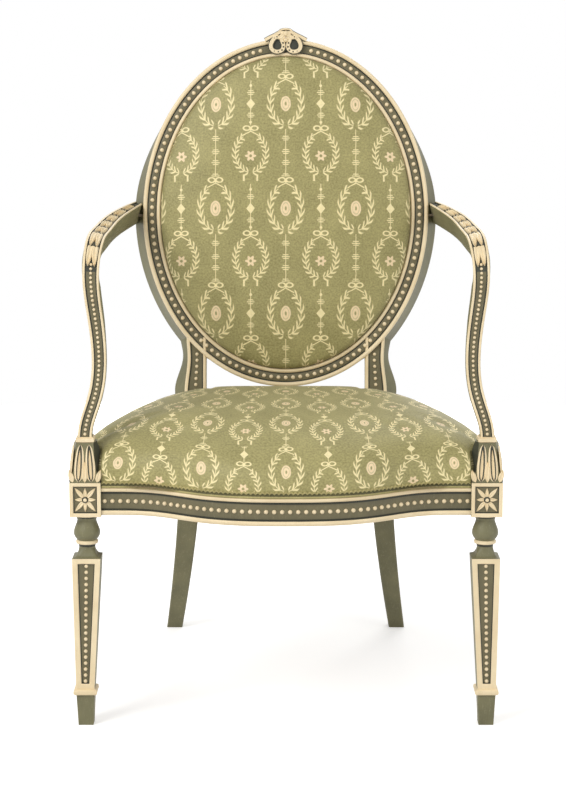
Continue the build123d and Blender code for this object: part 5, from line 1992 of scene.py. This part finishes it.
@dataclass
class Seat:
    """Domed seat: silk over stuffing, gimp round its foot, hessian and webbing below."""

    palette: Palette
    rails: SeatFrame
    legs: RearLegs
    foot_z: float = 361.0
    crown_z: float = 454.0
    crown_depth: float = 225.0
    back_depth: float = 466.0
    side_fullness: float = 5.0
    front_fullness: float = 3.0
    side_reach: float = 300.0
    front_reach: float = 30.0
    inset: float = 1.5
    tuck: float = 0.975
    tuck_inset: float = 2.0
    tuck_lift: float = 3.6
    pad_swell: float = 4.0
    held_rim: int = 2
    held_along: int = 14
    held_across: int = 8
    post_gap: float = 0.8
    gimp_height: float = 10.0
    gimp_front: float = 267.6
    gimp_side: tuple[float, float] = (46.6, 431.6)
    gimp_back: float = 129.6
    scallop: float = 6.7
    scallop_steps: int = 8
    web_width: float = 50.0
    web_pitch: float = 88.0
    web_wave: float = 0.55
    web_lift: float = 1.15
    web_half_thickness: float = 0.45
    linen_inset: float = 7.5
    linen_lift: float = 2.6
    linen_thickness: float = 0.6
    across: int = 72
    along: int = 72

    def roll(self, half: float, fullness: float, count: int) -> tuple[Array, Array, Array]:
        """Section of the dome from its middle out to its foot.

        Args:
            half: half width of the section.
            fullness: exponent of its rolled edge.
            count: how many points.

        Returns:
            Shares of the half width, shares of the height, and lengths along the cloth.
        """
        turns = np.linspace(0.0, math.pi / 2, 1500)
        tall = self.crown_z - self.foot_z
        power = 2 / fullness
        curve = np.stack([half * np.sin(turns) ** power, tall * np.cos(turns) ** power], axis=1)
        points = even_steps(curve, count)
        return points[:, 0] / half, points[:, 1] / tall, run_lengths(points)

    def joined(self, before: tuple[Array, ...], after: tuple[Array, ...]) -> list[Point]:
        """Two sections of the dome, joined at its crown.

        Args:
            before: the left or front section, from its middle out.
            after: the right or back section.

        Returns:
            Share of the half width, share of the height and length along the cloth, from end to end.
        """
        turned = [(-share, high, -length) for share, high, length in zip(*before)]
        return turned[:0:-1] + list(zip(*after))

    def plan(self, s: float, t: float, inset: float) -> tuple[float, float]:
        """Plan of the seat from shares across and from the crown to the front or back.

        Args:
            s: from -1 at the left to 1 at the right.
            t: from -1 at the front to 1 at the back.
            inset: how far the edge lies inside the rails' faces.

        Returns:
            Place across and depth.
        """
        rough = self.crown_depth * (1 + t) if t < 0 else between(self.crown_depth, self.back_depth, t)
        x = s * (self.rails.side_x(max(3.0, rough)) - inset)
        if t < 0:
            depth = between(self.crown_depth, self.rails.front_depth(x) + inset, -t)
        else:
            depth = between(self.crown_depth, self.back_depth - inset, t)
        return x, depth

    def clear_posts(self, x: float, depth: float, z: float) -> tuple[float, float]:
        """Move a point out of the room of the legs, arms and stiles.

        Args:
            x: place across.
            depth: its depth.
            z: its height.

        Returns:
            The place across and depth, clear of the posts.
        """
        side = math.copysign(1.0, x)
        reach = abs(x)
        arm = (self.rails.inner_x - self.post_gap, self.rails.block + self.post_gap, -1)
        stile = (self.legs.stile_inner - self.post_gap, self.legs.face_depth(z) - self.post_gap, 1)
        for post_x, post_depth, way in (arm, stile):
            into_x, into_depth = reach - post_x, way * (depth - post_depth)
            if min(into_x, into_depth) <= 0:
                continue
            if into_x < into_depth:
                reach = post_x
            else:
                depth = post_depth
        return side * reach, depth

    def pad(self) -> MeshBuilder:
        """Silk of the seat, with its own coordinates.

        Returns:
            The silk's mesh, closed below.
        """
        mesh = MeshBuilder()
        side = self.roll(self.side_reach, self.side_fullness, self.across // 2 + 1)
        half = self.along // 2 + 1
        front = self.roll(self.crown_depth + self.front_reach, self.front_fullness, half)
        back = self.roll(self.back_depth - self.crown_depth, self.front_fullness, half)
        rows = []
        for t, t_high, v in self.joined(front, back):
            upper, under, charts = [], [], []
            for s, s_high, u in self.joined(side, side):
                x, depth = self.plan(s, t, self.inset)
                z = self.foot_z + (self.crown_z - self.foot_z) * s_high * t_high
                upper.append(row(x, depth, z))
                x, depth = self.plan(s * self.tuck, t * self.tuck, self.inset + self.tuck_inset)
                under.append(row(x, depth, self.foot_z + self.tuck_lift))
                charts.append((u * MM, v * MM))
            rows.append(upper + under[::-1])
            for chart in charts + charts[::-1]:
                mesh.charts[len(mesh.charts)] = chart
        mesh.skin(rows, [Coat.GREEN], caps=Coat.GREEN)
        return mesh

    def held(self) -> list[int]:
        """Vertices of the seat's silk that are tacked down.

        Returns:
            Indices of its rim, of its underside and of the corners against the posts.
        """
        across, along = 2 * (self.across // 2) + 1, 2 * (self.along // 2) + 1
        kept = []
        for line in range(along):
            for place in range(2 * across):
                from_end, from_side = min(line, along - 1 - line), min(place, across - 1 - place)
                rim = min(from_end, from_side) < self.held_rim
                corner = from_end < self.held_along and from_side < self.held_across
                if place >= across or rim or corner:
                    kept.append(line * 2 * across + place)
        return kept

    def outline(self, inset: float) -> list[Array]:
        """Runs of the seat's edge in plan between the posts, each turning left round the seat.

        Args:
            inset: how far the edge lies inside the rails' faces.

        Returns:
            Plan points of the front, right, back and left runs, as places across and depths.
        """
        places = np.linspace(-self.gimp_front, self.gimp_front, 300)
        front = [(x, self.rails.front_depth(x) + inset) for x in places]
        right = [(self.rails.side_x(depth) - inset, depth) for depth in np.linspace(*self.gimp_side, 220)]
        back = [(x, self.back_depth - inset) for x in np.linspace(self.gimp_back, -self.gimp_back, 150)]
        left = [(-x, depth) for x, depth in reversed(right)]
        return [np.array(front), np.array(right), np.array(back), np.array(left)]

    def gimp(self) -> MeshBuilder:
        """Scalloped braid round the seat's foot.

        Returns:
            The braid's mesh, with its cords in the second material.
        """
        mesh = MeshBuilder()
        coats = strips((Coat.CREAM, 4), (Coat.GREEN, 2), (Coat.CREAM, 4), (Coat.GREEN, 1))
        low = self.foot_z + 0.1
        for run in self.outline(self.inset):
            waves = max(3, round(run_lengths(run)[-1] / self.scallop))
            places = even_steps(run, waves * self.scallop_steps + 1)
            rings = []
            for step, ((x, depth), side) in enumerate(zip(places, outward(places))):
                share = step / self.scallop_steps
                wave, arch = math.cos(share * 2 * math.pi), abs(math.sin(share * math.pi))
                high = self.foot_z + self.gimp_height - 2.2 + 2.2 * arch
                section = [
                    (-0.6, low), (1.4, low), (2.4, low + 1.0), (2.2, low + 2.4), (1.2, low + 2.9),
                    (1.4 + 0.7 * wave, low + 4.8), (1.2, high - 2.9), (2.6, high - 2.2), (2.9, high - 1.1),
                    (1.6, high), (-0.6, high),
                ]
                ring = [row(x + side[0] * out, depth + side[1] * out, z) for out, z in section]
                rings.append(ring[::-1])
            mesh.skin(rings, coats, caps=Coat.GREEN)
        return mesh

    def strip(self, mesh: MeshBuilder, start: Array, end: Array, wave: Callable[[float], float]) -> None:
        """Add one strip of webbing.

        Args:
            mesh: where it goes.
            start: middle of its first end.
            end: middle of its last end.
            wave: height of the strip at a share of its run.
        """
        run = end - start
        side = unit(np.cross([0, 0, 1.0], run)) * self.web_width / 2
        lift = np.array([0, 0, self.web_half_thickness])
        rings = []
        for share in np.linspace(0, 1, 60):
            middle = start + run * share + np.array([0, 0, wave(share)])
            left, right = middle - side, middle + side
            rings.append([left - lift, right - lift, right + lift, left + lift])
        mesh.skin(rings, [Coat.GREEN], caps=Coat.GREEN)

    def build_webbing(self) -> None:
        """Make the interlaced webbing."""
        middle = self.foot_z + self.web_lift
        lengthwise, crosswise = MeshBuilder(), MeshBuilder()
        cross_depths = [self.back_depth / 2 + step * self.web_pitch for step in range(-2, 3)]
        areas = [0.0, 0.0]
        for step in range(-1, 2):
            x = step * self.web_pitch
            front, rear = self.rails.front_depth(abs(x) + 20) + 10.0, self.back_depth - 9.5
            start, end = row(x, front, middle), row(x, rear, middle)

            def over(share: float, low: float = front, high: float = rear, turn: int = step) -> float:
                """Height of a lengthwise strip as it passes over and under."""
                depth = between(low, high, share)
                return self.web_wave * math.cos(math.pi * ((depth - cross_depths[0]) / self.web_pitch + turn))

            self.strip(lengthwise, start, end, over)
            areas[0] += (rear - front) * self.web_width
        for number, depth in enumerate(cross_depths):
            reach = min(self.rails.side_x(max(46.0, depth + 25)), 300.0) - 10.0
            start, end = row(-reach, depth, middle), row(reach, depth, middle)

            def under(share: float, half: float = reach, turn: int = number) -> float:
                """Height of a crosswise strip as it passes under and over."""
                x = between(-half, half, share)
                return -self.web_wave * math.cos(math.pi * (x / self.web_pitch + turn))

            self.strip(crosswise, start, end, under)
            areas[1] += 2 * reach * self.web_width
        names = ("seat_webbing_lengthwise", "seat_webbing_crosswise")
        for mesh, name, area in zip((lengthwise, crosswise), names, areas):
            made = fit_piece(mesh.build(f"dressed_{name}", [self.palette.webbing]), "webbing", name)
            self.web_width * MM
            area / self.web_width * MM

    def build_linen(self) -> None:
        """Make the hessian over the webbing."""
        hessian = MeshBuilder()
        thick = np.array([0, 0, self.linen_thickness])
        rings = []
        for t in np.linspace(-1, 1, 34):
            line = []
            for s in np.linspace(-1, 1, 34):
                x, depth = self.clear_posts(*self.plan(s, t, self.linen_inset), self.foot_z)
                line.append(row(x, depth, self.foot_z + self.linen_lift))
            rings.append(line + [point + thick for point in reversed(line)])
        hessian.skin(rings[::-1], [Coat.GREEN], caps=Coat.GREEN)
        made = hessian.build("dressed_seat_linen", [self.palette.linen], sharp=80.0)
        fit_piece(made, "linen", "seat_linen")

    def build(self) -> None:
        """Make the seat."""
        made = self.pad().build("dressed_seat_pad", [self.palette.seat_silk], sharp=80.0)
        fit_piece(made, "silk", "seat_cover", "seat_stuffing")
        plump(made, self.held(), self.pad_swell)
        for corner in made.data.vertices:
            x, y, z = (value / MM for value in corner.co)
            corner.co = row(*self.clear_posts(x, y - BLOCK_FACE_Y, z), z) * MM
        made.data.update()
        gimp = self.gimp().build("dressed_seat_gimp", [self.palette.braid, self.palette.cord], sharp=60.0)
        fit_piece(gimp, "gimp", "seat_gimp")
        self.build_webbing()
        self.build_linen()


@dataclass
class Studio:
    """Camera, soft light and pale floor."""

    lens: float = 94.74
    sensor: float = 36.0
    place: Point = (-0.0045, -3.2309, 1.0099)
    pitch: float = 9.867
    lit: Point = (0.0, 0.0, 0.5)
    floor_radius: float = 2600.0
    floor_z: float = -0.05
    floor_colour: Point = (0.86, 0.855, 0.845)

    def build_camera(self) -> None:
        """Set the camera at the photograph's angle."""
        data = bpy.data.cameras.new("portrait_camera")
        data.lens = self.lens
        data.sensor_width = self.sensor
        made = bpy.data.objects.new("portrait_camera", data)
        made.location = self.place
        made.rotation_euler = (math.radians(90 - self.pitch), 0.0, 0.0)
        bpy.context.scene.collection.objects.link(made)
        bpy.context.scene.camera = made

    def lamp(self, name: str, place: Point, size: float, power: float) -> None:
        """Add a soft square lamp that looks at the seat.

        Args:
            name: the lamp's name.
            place: where it stands.
            size: length of its sides.
            power: its power in watts.
        """
        data = bpy.data.lights.new(name, "AREA")
        data.size = size
        data.energy = power
        made = bpy.data.objects.new(name, data)
        made.location = place
        x, y, z = np.array(self.lit) - np.array(place)
        made.rotation_euler = (math.atan2(math.hypot(x, y), -z), 0.0, math.atan2(x, -y) + math.pi)
        bpy.context.scene.collection.objects.link(made)

    def pale(self, tree: bpy.types.NodeTree) -> Field:
        """Rays that look straight at the backdrop or see it in gloss or glass.

        Args:
            tree: the nodes of the world or of the floor.

        Returns:
            One for such rays, and nought for others.
        """
        path = tree.nodes.new("ShaderNodeLightPath")
        seen = Field(tree, path.outputs["Is Camera Ray"])
        for kind in ("Is Glossy Ray", "Is Transmission Ray"):
            seen = seen.most(Field(tree, path.outputs[kind]))
        return seen

    def build_world(self) -> None:
        """Soft even light from all round, white where the camera looks."""
        world = bpy.data.worlds.new("studio")
        bpy.context.scene.world = world
        world.use_nodes = True
        tree = world.node_tree
        ground = tree.nodes["Background"]
        ground.inputs["Color"].default_value = (1.0, 1.0, 1.0, 1.0)
        strength = self.pale(tree) * 0.52 + 0.48
        tree.links.new(strength.source, ground.inputs["Strength"])

    def build_floor(self) -> None:
        """Pale floor that keeps the chair's shadow."""
        mesh = MeshBuilder()
        reach = self.floor_radius
        turns = whole_turn(96)
        mesh.plate([(reach * math.cos(turn), reach * math.sin(turn), self.floor_z) for turn in turns])
        shader = Shader("pale_floor")
        tree, surface = shader.tree, shader.surface
        surface.inputs["Roughness"].default_value = 0.9
        surface.inputs["Base Color"].default_value = (*self.floor_colour, 1.0)
        surface.inputs["Specular IOR Level"].default_value = 0.1
        surface.inputs["Emission Color"].default_value = (1.0, 1.0, 1.0, 1.0)
        x, y = flat_places(tree, shader.coordinates())
        far = ((x * x + y * y).root() - 0.7).math("DIVIDE", 1.2, clamp=True)
        tree.links.new((self.pale(tree) * (far * 0.7 + 0.46)).source, surface.inputs["Emission Strength"])
        made = mesh.build("pale_floor", [shader.material])

    def build(self) -> None:
        """Set up the studio."""
        bpy.context.scene.view_settings.view_transform = "Standard"
        self.build_camera()
        self.build_world()
        self.build_floor()
        self.lamp("key_lamp", (-2.2, -2.4, 2.9), 1.6, 82.0)
        self.lamp("fill_lamp", (2.6, -2.2, 1.8), 2.2, 24.0)
        self.lamp("rear_lamp", (0.6, 2.6, 2.6), 1.8, 30.0)


def main() -> None:
    """Build the chair piece by piece."""
    Studio().build()
    palette = Palette.mix_all()
    back = OvalBack(palette)
    back.build()
    rear = RearLegs(palette, back)
    rear.build()
    rails = SeatFrame(palette)
    rails.build()
    FrontLegs(palette).build()
    Arms(palette).build()
    Seat(palette, rails, rear).build()


if __name__ == "__main__":
    main()
